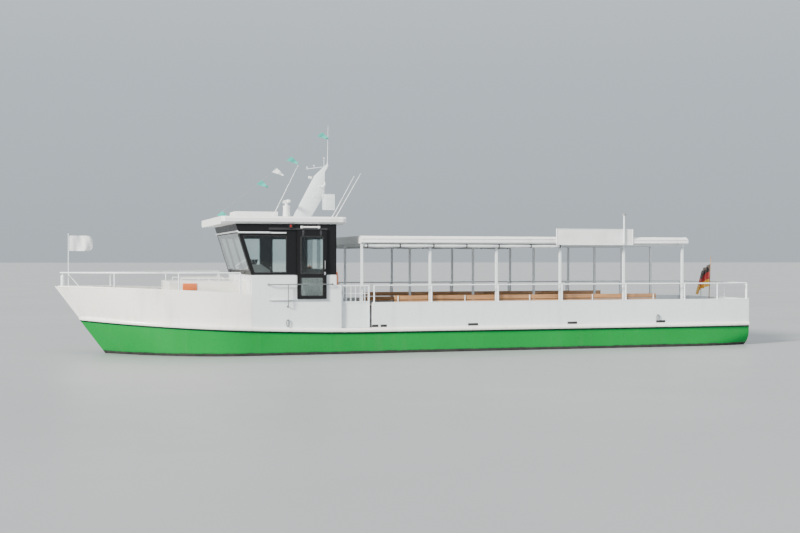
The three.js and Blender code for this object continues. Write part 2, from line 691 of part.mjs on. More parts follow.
function makeBench() {
  const span = [BENCH.rear, BENCH.front];
  const slats = [0, 1, 2].map((i) => {
    const y = BENCH.inner + i * 140;
    return box(span, [y, y + 120], [BENCH.seat - 40, BENCH.seat]);
  });
  const backs = [1300, 1440].map((z) => box(span, [BENCH.back - 25, BENCH.back], [z, z + 120]));
  const legs = BENCH_LEG_XS.map((x) =>
    join(
      box([x - 15, x + 15], [BENCH.inner + 30, BENCH.back + 10], [BENCH.seat - 100, BENCH.seat - 30]),
      box([x - 15, x + 15], [BENCH.back - 20, BENCH.back + 20], [DECK_Z + GAP, BENCH.backTop]),
      box([x - 15, x + 15], [BENCH.inner + 40, BENCH.inner + 100], [DECK_Z + GAP, BENCH.seat - 40]),
    ),
  );
  return join(...slats, ...backs, ...legs);
}

// Sliding boarding gate: a plated lower half and a grid above, on the inner side of the bulwark
const GATE_BARS = 5;

function makeGate() {
  const { rear, front, inner, thick, bottom, top, panelTop } = GATE;
  const across = [inner, inner + thick];
  const middle = [inner + 10, inner + thick - 10];
  const pieces = [
    box([rear, front], middle, [bottom, panelTop]),
    box([rear, front], across, [top - 40, top]),
    box([rear, front], across, [panelTop - 20, panelTop + 20]),
    box([rear, front], across, [DECK_Z + GAP, bottom + 40]),
    box([rear, rear + 40], across, [bottom, top]),
    box([front - 40, front], across, [bottom, top]),
  ];
  for (let i = 1; i <= GATE_BARS; i++) {
    const x = rear + ((front - rear) * i) / (GATE_BARS + 1);
    pieces.push(box([x - 8, x + 8], [inner + 12, inner + 28], [panelTop, top - 10]));
  }
  const midZ = (panelTop + top) / 2;
  pieces.push(box([rear + 10, front - 10], [inner + 12, inner + 28], [midZ - 8, midZ + 8]));
  return join(...pieces);
}

// Mast: a raked plate with a yard, an arm, a blank board and whip aerials, and the scanner's pedestal before it
const ROOF_TOP = HOUSE.top + ROOF.thick;
const MAST = { thick: 70, yardZ: 4640, yardHalf: 800, whipTop: 6400 };
const MAST_OUTLINE = [
  [2990, ROOF_TOP + GAP],
  [3510, ROOF_TOP + GAP],
  [2850, 4950],
  [2480, 5300],
  [2440, 5240],
  [2560, 5060],
  [2560, 4420],
];
const BOARD = { rear: 2290, front: 2640, bottom: 3980, top: 4420, y: 110 };
const SCANNER = { x: 3660, z: 4200, half: 380, high: 90, deep: 110, pedestalTop: 4090, pedestalRadius: 110 };
const MAST_WHIP = { from: [2470, 0, 5240], to: [2450, 0, MAST.whipTop], radius: 9 };

// Raked aerials: one on the roof beside the raised box, two on a bar along the roof's rear edge
const AERIALS = [
  {
    name: "aerial_fore",
    foot: [[4140, 4200], [570, 630], [ROOF_TOP + GAP, ROOF_TOP + 40]],
    rods: [{ from: [4170, 600, ROOF_TOP + 25], to: [3440, 600, 5200] }],
    radius: 9,
  },
  {
    name: "aerials_aft",
    foot: [[2390, ROOF.rear - GAP], [90, 630], [ROOF_TOP - 70, ROOF_TOP - 20]],
    rods: [
      { from: [2415, 120, ROOF_TOP - 45], to: [1710, 120, 4950] },
      { from: [2415, 600, ROOF_TOP - 45], to: [1640, 600, 4990] },
    ],
    radius: 12,
  },
];

function makeAerial({ foot, rods, radius }) {
  return join(box(...foot), ...rods.map(({ from, to }) => rod(from, to, radius, 8, radius / 2)));
}

function makeMast() {
  const half = MAST.thick / 2;
  return join(
    profile(MAST_OUTLINE, [-half, half]),
    rod([2720, -MAST.yardHalf, MAST.yardZ], [2720, MAST.yardHalf, MAST.yardZ], 18),
    box([BOARD.rear, BOARD.front], [BOARD.y, BOARD.y + 15], [BOARD.bottom, BOARD.top]),
    rod([2600, 0, BOARD.top - 40], [2600, BOARD.y + 5, BOARD.top - 40], 15),
    rod([2600, 0, BOARD.top - 40], [2600, 0, BOARD.top + 60], 20),
    rod(MAST_WHIP.from, MAST_WHIP.to, MAST_WHIP.radius),
  );
}

function makePedestal() {
  const { x, pedestalTop, pedestalRadius } = SCANNER;
  return rod([x, 0, ROOF_TOP + GAP], [x, 0, pedestalTop], pedestalRadius, 12, pedestalRadius - 20);
}

function makeScanner() {
  const { x, z, half, high, deep, pedestalTop } = SCANNER;
  return join(
    rod([x, 0, pedestalTop + GAP], [x, 0, z], 45, 12),
    box([x - deep / 2, x + deep / 2], [-half, half], [z - high / 2, z + high / 2]),
  );
}

// Screws, shafts and rudders
function makeShaft(hull) {
  const y = SHAFT_Y;
  const end = PROPELLER.x + PROPELLER.half + GAP;
  const bracketX = PROPELLER.x + 190;
  const line = rod([SHAFT_FRONT_X, y, SHAFT_Z], [end, y, SHAFT_Z], SHAFT_RADIUS, 12);
  const barrel = rod([bracketX - 80, y, SHAFT_Z], [bracketX + 80, y, SHAFT_Z], 55, 12);
  const strut = box([bracketX - 60, bracketX + 60], [y - 12, y + 12], [SHAFT_Z, -250]);
  return fitAgainst(join(line, barrel, strut), hull);
}

function makePropeller() {
  const { x, radius, hub, half, blades, pitch } = PROPELLER;
  const outline = new THREE.Shape();
  outline.moveTo(-30, 0);
  outline.bezierCurveTo(-90, radius * 0.5, -95, radius * 0.9, 0, radius);
  outline.bezierCurveTo(95, radius * 0.9, 90, radius * 0.5, 30, 0);
  const pieces = [rod([x - half, 0, 0], [x + half, 0, 0], hub, 12, hub - 8)];
  for (let i = 0; i < blades; i++) {
    const blade = new THREE.ExtrudeGeometry(outline, { depth: 14, bevelEnabled: false, curveSegments: 5 });
    blade.translate(0, 20, -7).rotateY(pitch).scale(1, (radius - 1) / (radius + 20), 1);
    blade.rotateX((i * 2 * Math.PI) / blades).translate(x, 0, 0);
    pieces.push(blade);
  }
  return join(...pieces).translate(0, SHAFT_Y, SHAFT_Z);
}

function makeRudder() {
  const { x, ahead, behind, top, bottom, bossZ } = RUDDER;
  const foil = new THREE.Shape();
  foil.moveTo(-behind, 0);
  foil.lineTo(0, -28);
  foil.absarc(ahead - 40, 0, 30, -Math.PI / 2, Math.PI / 2, false);
  foil.lineTo(0, 28);
  foil.closePath();
  const blade = new THREE.ExtrudeGeometry(foil, { depth: top - bottom, bevelEnabled: false, curveSegments: 4 });
  blade.translate(x, 0, bottom);
  const stock = rod([x, 0, top - 20], [x, 0, bossZ - GAP], 27, 12);
  return join(blade, stock).translate(0, SHAFT_Y, 0);
}

// Small outfit
const LIFEBUOY = { y: 1600, z: 2010, radius: 300, tube: 55 };
const STERN_STAFF = { x: -9820, top: 2640, radius: 14, lean: -90 };
const BOW_FLAG = { long: 630, high: 430, folds: 1.5, depth: 32 };
const ENSIGN = { long: 420, bottom: 1370, top: 2420, hoist: 700, droop: 360, folds: 4, depth: 65 };
const FLAG_THICK = 8;

function makeLifebuoy() {
  const ring = new THREE.TorusGeometry(LIFEBUOY.radius, LIFEBUOY.tube, 8, 24).rotateY(Math.PI / 2);
  return ring.translate(HOUSE.rear - LIFEBUOY.tube - GAP, LIFEBUOY.y, LIFEBUOY.z);
}

function sternStaffX(z) {
  return STERN_STAFF.x + (STERN_STAFF.lean * (z - DECK_Z)) / (STERN_STAFF.top - DECK_Z);
}

function makeSternStaff(hull) {
  const point = (z) => [sternStaffX(z), 0, z];
  return fitAgainst(rod(point(DECK_Z - FOOT_SUNK), point(STERN_STAFF.top), STERN_STAFF.radius), hull);
}

// Cloth in upright folds: its plan is a wave from the hoist edge towards the fly, thickened and drawn up in z.
function foldedCloth({ from, reach, folds, depth, steps }, [low, high]) {
  const wave = Array.from({ length: steps + 1 }, (_, i) => {
    const share = i / steps;
    const grown = Math.min(1, 4 * share);
    return [from + reach * share, depth * grown * Math.sin(2 * Math.PI * folds * share)];
  });
  const edge = (side) => wave.map(([x, y]) => new THREE.Vector2(x, y + (side * FLAG_THICK) / 2));
  const outline = new THREE.Shape([...edge(-1), ...edge(1).reverse()]);
  const cloth = new THREE.ExtrudeGeometry(outline, { depth: high - low, bevelEnabled: false });
  return cloth.translate(0, 0, low);
}

function makeBowFlag() {
  const from = BOW_STAFF.x - BOW_STAFF.radius - GAP;
  const top = BOW_STAFF.top - 40;
  const { long, folds, depth, high } = BOW_FLAG;
  return foldedCloth({ from, reach: -long, folds, depth, steps: 18 }, [top - high, top]);
}

// The ensign hangs limp, so both its edges slope down from the staff.
function makeEnsign() {
  const { long, folds, depth, bottom, top, hoist, droop } = ENSIGN;
  const from = sternStaffX(bottom) + STERN_STAFF.radius + GAP;
  const slope = STERN_STAFF.lean / (STERN_STAFF.top - DECK_Z);
  const cloth = foldedCloth({ from, reach: long, folds, depth, steps: 40 }, [bottom, top]);
  cloth.applyMatrix4(new THREE.Matrix4().makeShear(0, 0, 0, 0, slope, 0)).translate(-slope * bottom, 0, 0);
  const across = [-2 * depth, 2 * depth];
  const [start, end] = [from - 100, from + long + 20];
  const above = [[start, top], [end, top - droop], [end, top + 100], [start, top + 100]];
  const below = [[start, top - hoist], [start, bottom - 100], [end, bottom - 100], [end, bottom]];
  return cut(cloth, profile(above, across), profile(below, across));
}

// Assembly
const ferry = new THREE.Group();

function place(name, geometry, material) {
  const mesh = new THREE.Mesh(geometry, material);
  mesh.name = name;
  ferry.add(mesh);
}

const hull = makeHull(BOW_START_X - GAP);
const hullBow = makeHullBow();
const bowBulwark = makeBowBulwark();
const deckhouse = makeDeckhouse();
place("hull", hull, green);
place("hull_bow", hullBow, green);
place("bulwark_bow", bowBulwark, white);
place("bulwark_stern", makeSternBulwark(), white);
place("trunk", box([TRUNK.rear + GAP, TRUNK.front], [-TRUNK.half, TRUNK.half], [FOREDECK_Z, TRUNK.top]), white);
for (const hatch of HATCHES) place(hatch.name, makeLid(hatch), grey);
place("bow_rail", makeBowRail(bowBulwark), white);
place("bow_flag", makeBowFlag(), cloth);
place("deckhouse", deckhouse, white);
place("wheelhouse_front", makeFrontWall(), black);
place("wheelhouse_rear", makeRearWall(), black);
place("window_front", makeFrontGlass(), glass);
place("window_rear", makeRearGlass(), glass);
place("wheelhouse_roof", makeRoof(), white);
place("console", makeConsole(), grey);
place("helm_wheel", makeHelmWheel(), black);
place("seat_base", makeSeatBase(), steel);
place("helm_seat", makeSeat(), black);
place("mast", makeMast(), white);
for (const aerial of AERIALS) place(aerial.name, makeAerial(aerial), white);
place("radar_pedestal", makePedestal(), white);
place("radar_scanner", makeScanner(), white);
place("canopy_roof", makeCanopyRoof(), white);
place("canopy_frame_centre", makeCanopyFrame(0), white);
place("stern_staff", makeSternStaff(hull), timber);
place("ensign", makeEnsign(), cloth);
place("sign", makeSign(), white);
place("light_pole", makeLightPole(), white);

const sideBulwark = makeSideBulwark();
const plating = join(makeHull(BOW_START_X + GAP), hullBow, bowBulwark, deckhouse, sideBulwark);
for (const [name, side] of Object.entries(SIDES)) {
  const add = (stem, geometry, material) => place(`${stem}_${name}`, onSide(side, geometry), material);
  add("bulwark", sideBulwark, white);
  add("rub_rail", makeRubRail(plating), rubber);
  add("wheelhouse_side", makeSideWall(), black);
  add("window", makeSideGlass(), glass);
  add("door", makeDoor(), black);
  add("door_glass", doorGlassBox(GAP), glass);
  add("grab_rail", makeGrabRail(), steel);
  add("canopy_frame", makeCanopyFrame(POST_Y), white);
  add("curtain", makeCurtain(), cloth);
  add("bench", makeBench(), timber);
  add("gate", makeGate(), white);
  add("shaft", makeShaft(hull), steel);
  add("propeller", makePropeller(), bronze);
  add("rudder", makeRudder(), steel);
  add("lifebuoy", makeLifebuoy(), orange);
}

export default ferry;
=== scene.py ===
"""Looks of the small river passenger ferry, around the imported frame."""
import math

import bmesh
import bpy
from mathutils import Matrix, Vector


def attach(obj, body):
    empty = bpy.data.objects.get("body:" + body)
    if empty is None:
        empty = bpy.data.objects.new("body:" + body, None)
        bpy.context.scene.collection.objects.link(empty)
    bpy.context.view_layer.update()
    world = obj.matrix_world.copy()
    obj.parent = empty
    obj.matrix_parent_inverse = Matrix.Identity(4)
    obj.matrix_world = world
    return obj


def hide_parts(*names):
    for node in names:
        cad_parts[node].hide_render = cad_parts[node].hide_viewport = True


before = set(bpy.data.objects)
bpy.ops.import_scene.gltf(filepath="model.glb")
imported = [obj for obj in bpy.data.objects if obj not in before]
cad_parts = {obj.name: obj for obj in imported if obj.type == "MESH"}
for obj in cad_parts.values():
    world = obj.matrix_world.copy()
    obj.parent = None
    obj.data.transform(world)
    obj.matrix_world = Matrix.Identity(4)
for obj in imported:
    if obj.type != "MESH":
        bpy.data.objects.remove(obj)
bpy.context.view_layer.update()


def link(name, data):
    made = bpy.data.objects.new(name, data)
    bpy.context.scene.collection.objects.link(made)
    return made


# Camera: the photo's place and viewing angle, closed in on the boat. Metres, +X forward, +Y to port.
CAMERA_PLACE = Vector((10.0, 33.7, 2.56))
CAMERA_AIM = Vector((0.3, 0.0, 2.35))
SENSOR_WIDTH = 36.0
LENS = 54.0

camera_data = bpy.data.cameras.new("camera")
camera_data.sensor_width = SENSOR_WIDTH
camera_data.lens = LENS
camera = link("camera", camera_data)
camera.location = CAMERA_PLACE
camera.rotation_euler = (CAMERA_AIM - CAMERA_PLACE).to_track_quat("-Z", "Y").to_euler()
bpy.context.scene.camera = camera

# Sizes that part.mjs gives, in metres
HALF_BEAM, DRAUGHT, PLATE, BILGE_RADIUS = 2.15, 0.9, 0.06, 0.5
STERN_X, BOW_START_X, BOW_X = -10.0, 5.0, 10.0
DECK_Z, FOREDECK_Z = 0.7, 1.0
BULWARK_START_X, BULWARK_AFT_Z, BULWARK_BOW_Z, BULWARK_CURVE = 1.7, 1.38, 1.835, 1.6
STEM_AT_WATER_X, STEM_HALF_WIDTH, FOREFOOT_SWEEP = 8.65, 0.025, 0.9
STEM_RAKE = (BOW_X - STEM_AT_WATER_X) / BULWARK_BOW_Z
FULLNESS_KEEL, FULLNESS_RISE = 1.75, 0.55
QUARTER_START_X, QUARTER_TUCK = -7.5, 0.12
RUN_START_X, RUN_RISE, RUN_CURVE = -6.0, 0.85, 1.4
SHEER_START_X, SHEER_LENGTH, SHEER_AFT_Z, SHEER_RISE, SHEER_CURVE = 2.0, 7.4, 0.64, 0.33, 1.6
HOUSE_REAR, HOUSE_FRONT = 2.7, 4.999
HOUSE_FLOOR, HOUSE_SILL, HOUSE_TOP, HOUSE_LEAN = 1.45, 2.13, 3.5, 0.42
ROOF_TOP = 3.7
CANOPY_FRONT, CANOPY_REAR, CANOPY_BOTTOM = 2.0, -7.9, 3.0
POST_XS = [1.95, 0.0, -1.96, -3.9, -5.9, -7.8]
POST_Y = 1.96
HANDRAIL_Z, HANDRAIL_Y, RAIL_RADIUS = 1.85, 2.12, 0.02
SHAFT_Y, SHAFT_Z, RUDDER_X = 0.9, -0.64, -9.25
SIDES = {"port": 1, "starboard": -1}
UP, OUTBOARD, AHEAD = (0, 0, 1), (0, 1, 0), (1, 0, 0)
# Hairline between a small fitting and the face that it stands on
GAP = 0.0004


def clamp(value, low=0.0, high=1.0):
    return max(low, min(high, value))


# Hull form, as in the CAD source
def stem_x(z):
    sweep = FOREFOOT_SWEEP * (z / DRAUGHT) ** 2 if z < 0 else 0
    return STEM_AT_WATER_X + STEM_RAKE * z - sweep


def bottom_z(x):
    return -DRAUGHT + RUN_RISE * max(0, (RUN_START_X - x) / (RUN_START_X - STERN_X)) ** RUN_CURVE


def aft_half_breadth(x):
    return HALF_BEAM - QUARTER_TUCK * max(0, (QUARTER_START_X - x) / (QUARTER_START_X - STERN_X)) ** 2


def bow_share(step, steps):
    """How far along the bow a station is, closer together towards the stem."""
    return 1 - (1 - step / steps) ** 1.25


def bow_point(share, z, half_breadth=HALF_BEAM, inset=0.0):
    fullness = FULLNESS_KEEL + FULLNESS_RISE * clamp((z + DRAUGHT) / (DECK_Z + DRAUGHT))
    x = BOW_START_X + share * (stem_x(z) - inset - BOW_START_X)
    return Vector((x, max(STEM_HALF_WIDTH, half_breadth * (1 - share ** fullness)), z))


def bow_point_at(share, height_at, half_breadth=HALF_BEAM, inset=0.0):
    z = height_at(BOW_START_X + share * (BOW_X - BOW_START_X))
    for _ in range(4):
        z = height_at(bow_point(share, z, half_breadth, inset).x)
    return bow_point(share, z, half_breadth, inset)


def bulwark_top_z(x):
    forward = clamp((x - BULWARK_START_X) / (BOW_X - BULWARK_START_X))
    return BULWARK_AFT_Z + (BULWARK_BOW_Z - BULWARK_AFT_Z) * (1 - (1 - forward) ** BULWARK_CURVE)


def rub_rail_z(x):
    return SHEER_AFT_Z + SHEER_RISE * clamp((x - SHEER_START_X) / SHEER_LENGTH) ** SHEER_CURVE


def front_lean_x(z):
    return HOUSE_FRONT + HOUSE_LEAN * (z - HOUSE_SILL) / (HOUSE_TOP - HOUSE_SILL)


# Materials
SOCKETS = {
    "metallic": "Metallic",
    "roughness": "Roughness",
    "specular": "Specular IOR Level",
    "coat": "Coat Weight",
    "coat_roughness": "Coat Roughness",
    "sheen": "Sheen Weight",
    "transmission": "Transmission Weight",
    "ior": "IOR",
}


def rgba(value):
    return (*value, 1) if isinstance(value, tuple) else value


def shade(colour, factor):
    return tuple(clamp(channel * factor) for channel in colour)


def set_stops(ramp, stops):
    while len(ramp.elements) < len(stops):
        ramp.elements.new(0.5)
    for element, (at, colour) in zip(ramp.elements, stops):
        element.position = at
        element.color = (*colour, 1) if isinstance(colour, tuple) else (colour, colour, colour, 1)


class Look:
    """A node material in the making, with short calls for the nodes that feed its shader."""

    def __init__(self, name, **uniform):
        self.material = bpy.data.materials.new(name)
        self.material.use_nodes = True
        self.tree = self.material.node_tree
        self.shader = self.tree.nodes["Principled BSDF"]
        for socket, value in uniform.items():
            self.shader.inputs[SOCKETS[socket]].default_value = value
        self.place = self.add("ShaderNodeTexCoord").outputs["Object"]

    def add(self, kind, inputs=None, **settings):
        node = self.tree.nodes.new(kind)
        for key, value in settings.items():
            setattr(node, key, value)
        for key, value in (inputs or {}).items():
            if isinstance(value, bpy.types.NodeSocket):
                self.tree.links.new(value, node.inputs[key])
            else:
                node.inputs[key].default_value = value
        return node

    def noise(self, scale, detail=3.0, stretch=(1, 1, 1), seed=0.0):
        place = {"Vector": self.place, "Scale": stretch, "Location": (seed, seed, seed)}
        moved = self.add("ShaderNodeMapping", place).outputs["Vector"]
        grain = {"Vector": moved, "Scale": scale, "Detail": detail}
        return self.add("ShaderNodeTexNoise", grain).outputs["Fac"]

    def ramp(self, value, stops, interpolation="LINEAR"):
        node = self.add("ShaderNodeValToRGB", {"Fac": value})
        node.color_ramp.interpolation = interpolation
        set_stops(node.color_ramp, stops)
        return node.outputs["Color"]

    def patches(self, scale, detail, low, high, start=0.3, end=0.75, seed=0.0, stretch=(1, 1, 1)):
        """Noise that drifts from one colour or number to another."""
        return self.ramp(self.noise(scale, detail, stretch, seed), [(start, low), (end, high)])

    def mix(self, share, low, high):
        values = {0: share, 6: rgba(low), 7: rgba(high)}
        return self.add("ShaderNodeMix", values, data_type="RGBA").outputs[2]

    def math(self, operation, *values, clamped=False):
        node = self.add("ShaderNodeMath", dict(enumerate(values)), operation=operation, use_clamp=clamped)
        return node.outputs[0]

    def colour(self, value):
        self.tree.links.new(value, self.shader.inputs["Base Color"])

    def rough(self, value):
        self.tree.links.new(value, self.shader.inputs["Roughness"])

    def bump(self, height, strength, distance=0.01, under=None):
        inputs = {"Height": height, "Strength": strength, "Distance": distance}
        if under is not None:
            inputs["Normal"] = under
        made = self.add("ShaderNodeBump", inputs).outputs["Normal"]
        self.tree.links.new(made, self.shader.inputs["Normal"])
        return made


def painted_colour(look, colour, spread, grime, dirt):
    """Broad and fine colour drift, then faint streaks that run down."""
    broad = look.patches(0.55, 4, shade(colour, 1 - spread), shade(colour, 1 + spread * 0.6), end=0.7)
    worn = look.mix(look.patches(36, 2, 0.0, 0.35, start=0.35, seed=3), broad, shade(colour, 1 - spread))
    streak = look.patches(4.5, 5, 0.0, grime, 0.52, 0.78, 7, (1, 1, 0.12))
    return look.mix(streak, worn, dirt)


PAINT = {
    "spread": 0.05, "grime": 0.25, "dirt": (0.32, 0.30, 0.26), "ripple": 0.12, "peel": 0.04, "coat": 0.25,
    "specular": 0.5,
}


def painted(name, colour, roughness, **changes):
    """Sprayed or brushed paint: ripple is the plate's unevenness and peel the paint's own."""
    paint = {**PAINT, **changes}
    look = Look(name, coat=paint["coat"], coat_roughness=0.12, specular=paint["specular"])
    look.colour(painted_colour(look, colour, paint["spread"], paint["grime"], paint["dirt"]))
    look.rough(look.patches(9, 4, roughness * 0.8, roughness * 1.25, seed=5))
    plates = look.bump(look.noise(1.1, 2, seed=11), paint["ripple"], 0.03)
    look.bump(look.noise(160, 2, seed=2), paint["peel"], 0.002, plates)
    return look.material


# One white paint in two copies: the warm bright one is painted sunlight, the darker bluer one painted shade.
SUNLIT_WHITE = (0.90, 0.89, 0.84)
SHADED_WHITE = (0.74, 0.78, 0.80)
GREEN, GREEN_DIRT = (0.0, 0.23, 0.038), (0.05, 0.20, 0.06)
# The dark green, with the band's drop and half-height below, is a painted shadow: a dark green band just
# under the rub rail.
RAIL_SHADOW_GREEN = (0.004, 0.045, 0.018)
BOOT_BLACK, BOOT_SCUM = (0.012, 0.012, 0.014), (0.05, 0.05, 0.045)
BORDER_DROP, RAIL_SHADOW_DROP, RAIL_SHADOW_HALF = 0.05, 0.025, 0.022
BOOT_TOP, BOOT_WAVE = 0.055, 0.05
SEAM_STEP, SEAM_HALF = 1.9, 0.006


def make_hull_paint():
    """White over green over black: the border follows the rub rail, painted shadow under it; low beads show
    the plates' seams.
    """
    look = Look("hull_coating", specular=0.12)
    x, _, z = look.add("ShaderNodeSeparateXYZ", {0: look.place}).outputs
    forward = look.math("DIVIDE", look.math("SUBTRACT", x, SHEER_START_X), SHEER_LENGTH, clamped=True)
    sheer = look.math("POWER", forward, SHEER_CURVE)
    over = look.math("SUBTRACT", z, look.math("MULTIPLY_ADD", sheer, SHEER_RISE, SHEER_AFT_Z - BORDER_DROP))
    # The hull's white is the sunlit copy of the white paint: painted sunlight.
    white = painted_colour(look, SUNLIT_WHITE, 0.04, 0.2, (0.33, 0.31, 0.27))
    green = painted_colour(look, GREEN, 0.10, 0.28, GREEN_DIRT)
    # Painted shadow: a dark green band right under the rub rail, on the green.
    line = look.math("LESS_THAN", look.math("ABSOLUTE", look.math("ADD", over, RAIL_SHADOW_DROP)), RAIL_SHADOW_HALF)
    upper = look.mix(look.math("GREATER_THAN", over, 0.0), look.mix(line, green, RAIL_SHADOW_GREEN), white)
    wet = look.math("MULTIPLY_ADD", look.noise(3.2, 3, seed=1), BOOT_WAVE, BOOT_TOP)
    boot = look.mix(look.noise(5, 4, seed=9), BOOT_BLACK, BOOT_SCUM)
    look.colour(look.mix(look.math("LESS_THAN", z, wet), upper, boot))
    look.rough(look.patches(8, 4, 0.24, 0.42, seed=5))
    along = look.math("SUBTRACT", look.math("FRACT", look.math("DIVIDE", x, SEAM_STEP)), 0.5)
    seam = look.ramp(look.math("ABSOLUTE", along), [(0.0, 1.0), (SEAM_HALF, 0.0)])
    plates = look.bump(look.noise(0.9, 2, (0.7, 1, 1), seed=4), 0.35, 0.03)
    seams = look.bump(seam, 0.5, 0.004, plates)
    look.bump(look.noise(150, 2, seed=2), 0.04, 0.002, seams)
    return look.material


def make_deck_paint():
    look = Look("deck_non_slip")
    base = painted_colour(look, (0.30, 0.32, 0.33), 0.12, 0.4, (0.16, 0.15, 0.13))
    look.colour(look.mix(look.patches(1.3, 5, 0.0, 0.5, 0.45, 0.8, 6), base, (0.42, 0.42, 0.40)))
    look.rough(look.patches(30, 3, 0.65, 0.9, end=0.7))
    look.bump(look.noise(420, 2, seed=8), 0.5, 0.002)
    return look.material


def make_metal(name, colour, roughness):
    look = Look(name, metallic=1.0)
    look.colour(look.patches(6, 5, shade(colour, 0.86), shade(colour, 1.08)))
    brushed = look.noise(60, 3, (0.15, 1, 1), seed=3)
    look.rough(look.ramp(brushed, [(0.3, roughness * 0.75), (0.75, roughness * 1.4)]))
    look.bump(brushed, 0.12, 0.001)
    return look.material


def make_plastic(name, colour, roughness, grain=90):
    look = Look(name)
    look.colour(look.patches(3.5, 4, shade(colour, 0.9), shade(colour, 1.08)))
    look.rough(look.patches(22, 3, roughness * 0.8, roughness * 1.25, seed=4))
    look.bump(look.noise(grain, 2, seed=1), 0.1, 0.002)
    return look.material


def make_wood(name, colour):
    """Grain and pores drawn out along x."""
    look = Look(name, coat=0.3, coat_roughness=0.25)
    grain = look.noise(18, 6, (0.05, 1, 1), seed=2)
    pores = look.noise(140, 3, (0.04, 1, 1), seed=5)
    base = look.ramp(grain, [(0.25, shade(colour, 0.55)), (0.5, colour), (0.8, shade(colour, 1.35))])
    look.colour(look.mix(look.ramp(pores, [(0.5, 0.0), (0.8, 0.5)]), base, shade(colour, 0.4)))
    look.rough(look.ramp(grain, [(0.3, 0.42), (0.8, 0.6)]))
    look.bump(pores, 0.2, 0.001)
    return look.material


def make_glass(name, tint):
    look = Look(name, transmission=1.0, ior=1.45, roughness=0.03)
    look.colour(look.patches(1.5, 3, tint, shade(tint, 1.06), end=0.7))
    look.bump(look.noise(2.2, 2, seed=6), 0.06, 0.004)
    return look.material


def woven(look, scale):
    """Warp and weft as two crossed sets of fine ridges."""
    ridges = []
    for direction in "XZ":
        inputs = {"Vector": look.place, "Scale": scale}
        ridges.append(look.add("ShaderNodeTexWave", inputs, bands_direction=direction).outputs["Fac"])
    both = look.math("MULTIPLY", *ridges)
    look.bump(both, 0.25, 0.001)
    return both


def make_cloth(name, colour, roughness=0.85, weave=160):
    look = Look(name, sheen=0.3)
    threads = woven(look, weave)
    base = look.patches(2.5, 4, shade(colour, 0.92), shade(colour, 1.04))
    look.colour(look.mix(look.math("MULTIPLY", threads, 0.15), base, shade(colour, 0.7)))
    look.rough(look.patches(12, 3, roughness * 0.9, min(1.0, roughness * 1.1), end=0.7, seed=5))
    return look.material


def make_striped_cloth():
    """Three plain stripes, kept in the cloth's own two directions by a stored number."""
    look = Look("striped_cloth", sheen=0.3)
    threads = woven(look, 170)
    across = look.add("ShaderNodeAttribute", attribute_name="stripe").outputs["Fac"]
    stops = [(0.0, (0.015, 0.014, 0.016)), (0.3334, (0.55, 0.012, 0.02)), (0.6667, (0.85, 0.46, 0.02))]
    stripes = look.ramp(across, stops, "CONSTANT")
    faded = look.mix(look.math("MULTIPLY", look.noise(4, 4), 0.25), stripes, (0.45, 0.36, 0.30))
    look.colour(look.mix(look.math("MULTIPLY", threads, 0.18), faded, (0.08, 0.04, 0.03)))
    look.rough(look.patches(12, 3, 0.75, 0.95, end=0.7, seed=5))
    return look.material


def make_leather(name, colour):
    look = Look(name, sheen=0.1)
    cells = look.add("ShaderNodeTexVoronoi", {"Vector": look.place, "Scale": 260.0})
    look.colour(look.patches(7, 4, shade(colour, 0.75), shade(colour, 1.3)))
    look.rough(look.patches(14, 3, 0.38, 0.6, seed=4))
    look.bump(cells.outputs["Distance"], 0.25, 0.001)
    return look.material


# house_white_shaded is the white paint's copy in painted shade, strake_white_sunlit its copy in painted
# sunlight.
white_paint = painted("house_white_shaded", SHADED_WHITE, 0.3)
sunlit_white_paint = painted("strake_white_sunlit", SUNLIT_WHITE, 0.3)
roof_paint = painted("roof_white", (0.82, 0.83, 0.83), 0.42)
dark_paint = painted(
    "band_black", (0.008, 0.008, 0.009), 0.4,
    spread=0.12, grime=0.02, dirt=(0.04, 0.04, 0.04), ripple=0.06, peel=0.0, coat=0.0, specular=0.18,
)
hull_paint = make_hull_paint()
deck_paint = make_deck_paint()
steel = make_metal("galvanised_steel", (0.62, 0.63, 0.64), 0.34)
rail_grey = painted("rail_grey", (0.15, 0.17, 0.175), 0.4, spread=0.15, grime=0.1, ripple=0.0)
bronze = make_metal("bronze", (0.62, 0.42, 0.17), 0.32)
rubber = make_plastic("black_rubber", (0.018, 0.018, 0.018), 0.75, 60)
black_plastic = make_plastic("black_plastic", (0.02, 0.02, 0.022), 0.4)
white_plastic = make_plastic("white_plastic", (0.78, 0.79, 0.78), 0.35)
grey_plastic = make_plastic("console_plastic", (0.23, 0.24, 0.25), 0.5)
orange_plastic = make_plastic("orange_plastic", (0.83, 0.16, 0.02), 0.5)
wood = make_wood("varnished_slats", (0.42, 0.21, 0.085))
staff_wood = make_wood("varnished_staff", (0.36, 0.18, 0.08))
window_glass = make_glass("window_glass", (0.80, 0.88, 0.86))
leather = make_leather("black_leather", (0.022, 0.022, 0.024))
antifouling = painted("underwater_black", (0.03, 0.03, 0.032), 0.6, grime=0.4, coat=0.0)
red_lens = make_plastic("red_lens", (0.22, 0.008, 0.008), 0.15)
green_lens = make_plastic("green_lens", (0.01, 0.30, 0.08), 0.15)
clear_lens = make_plastic("clear_lens", (0.75, 0.76, 0.72), 0.15)
screen_glass = make_plastic("screen_glass", (0.01, 0.014, 0.02), 0.08)
flag_cloth = make_cloth("white_flag_cloth", (0.80, 0.81, 0.82))
teal_cloth = make_cloth("teal_pennant_cloth", (0.03, 0.42, 0.34))
striped_cloth = make_striped_cloth()
curtain_cloth = make_cloth("tarpaulin", (0.66, 0.69, 0.70), 0.55, 60)
grab_line = make_plastic("grab_line", (0.55, 0.52, 0.46), 0.8, 300)
orange_plate = painted("orange_plate", (0.72, 0.16, 0.03), 0.4, spread=0.12, ripple=0.0)


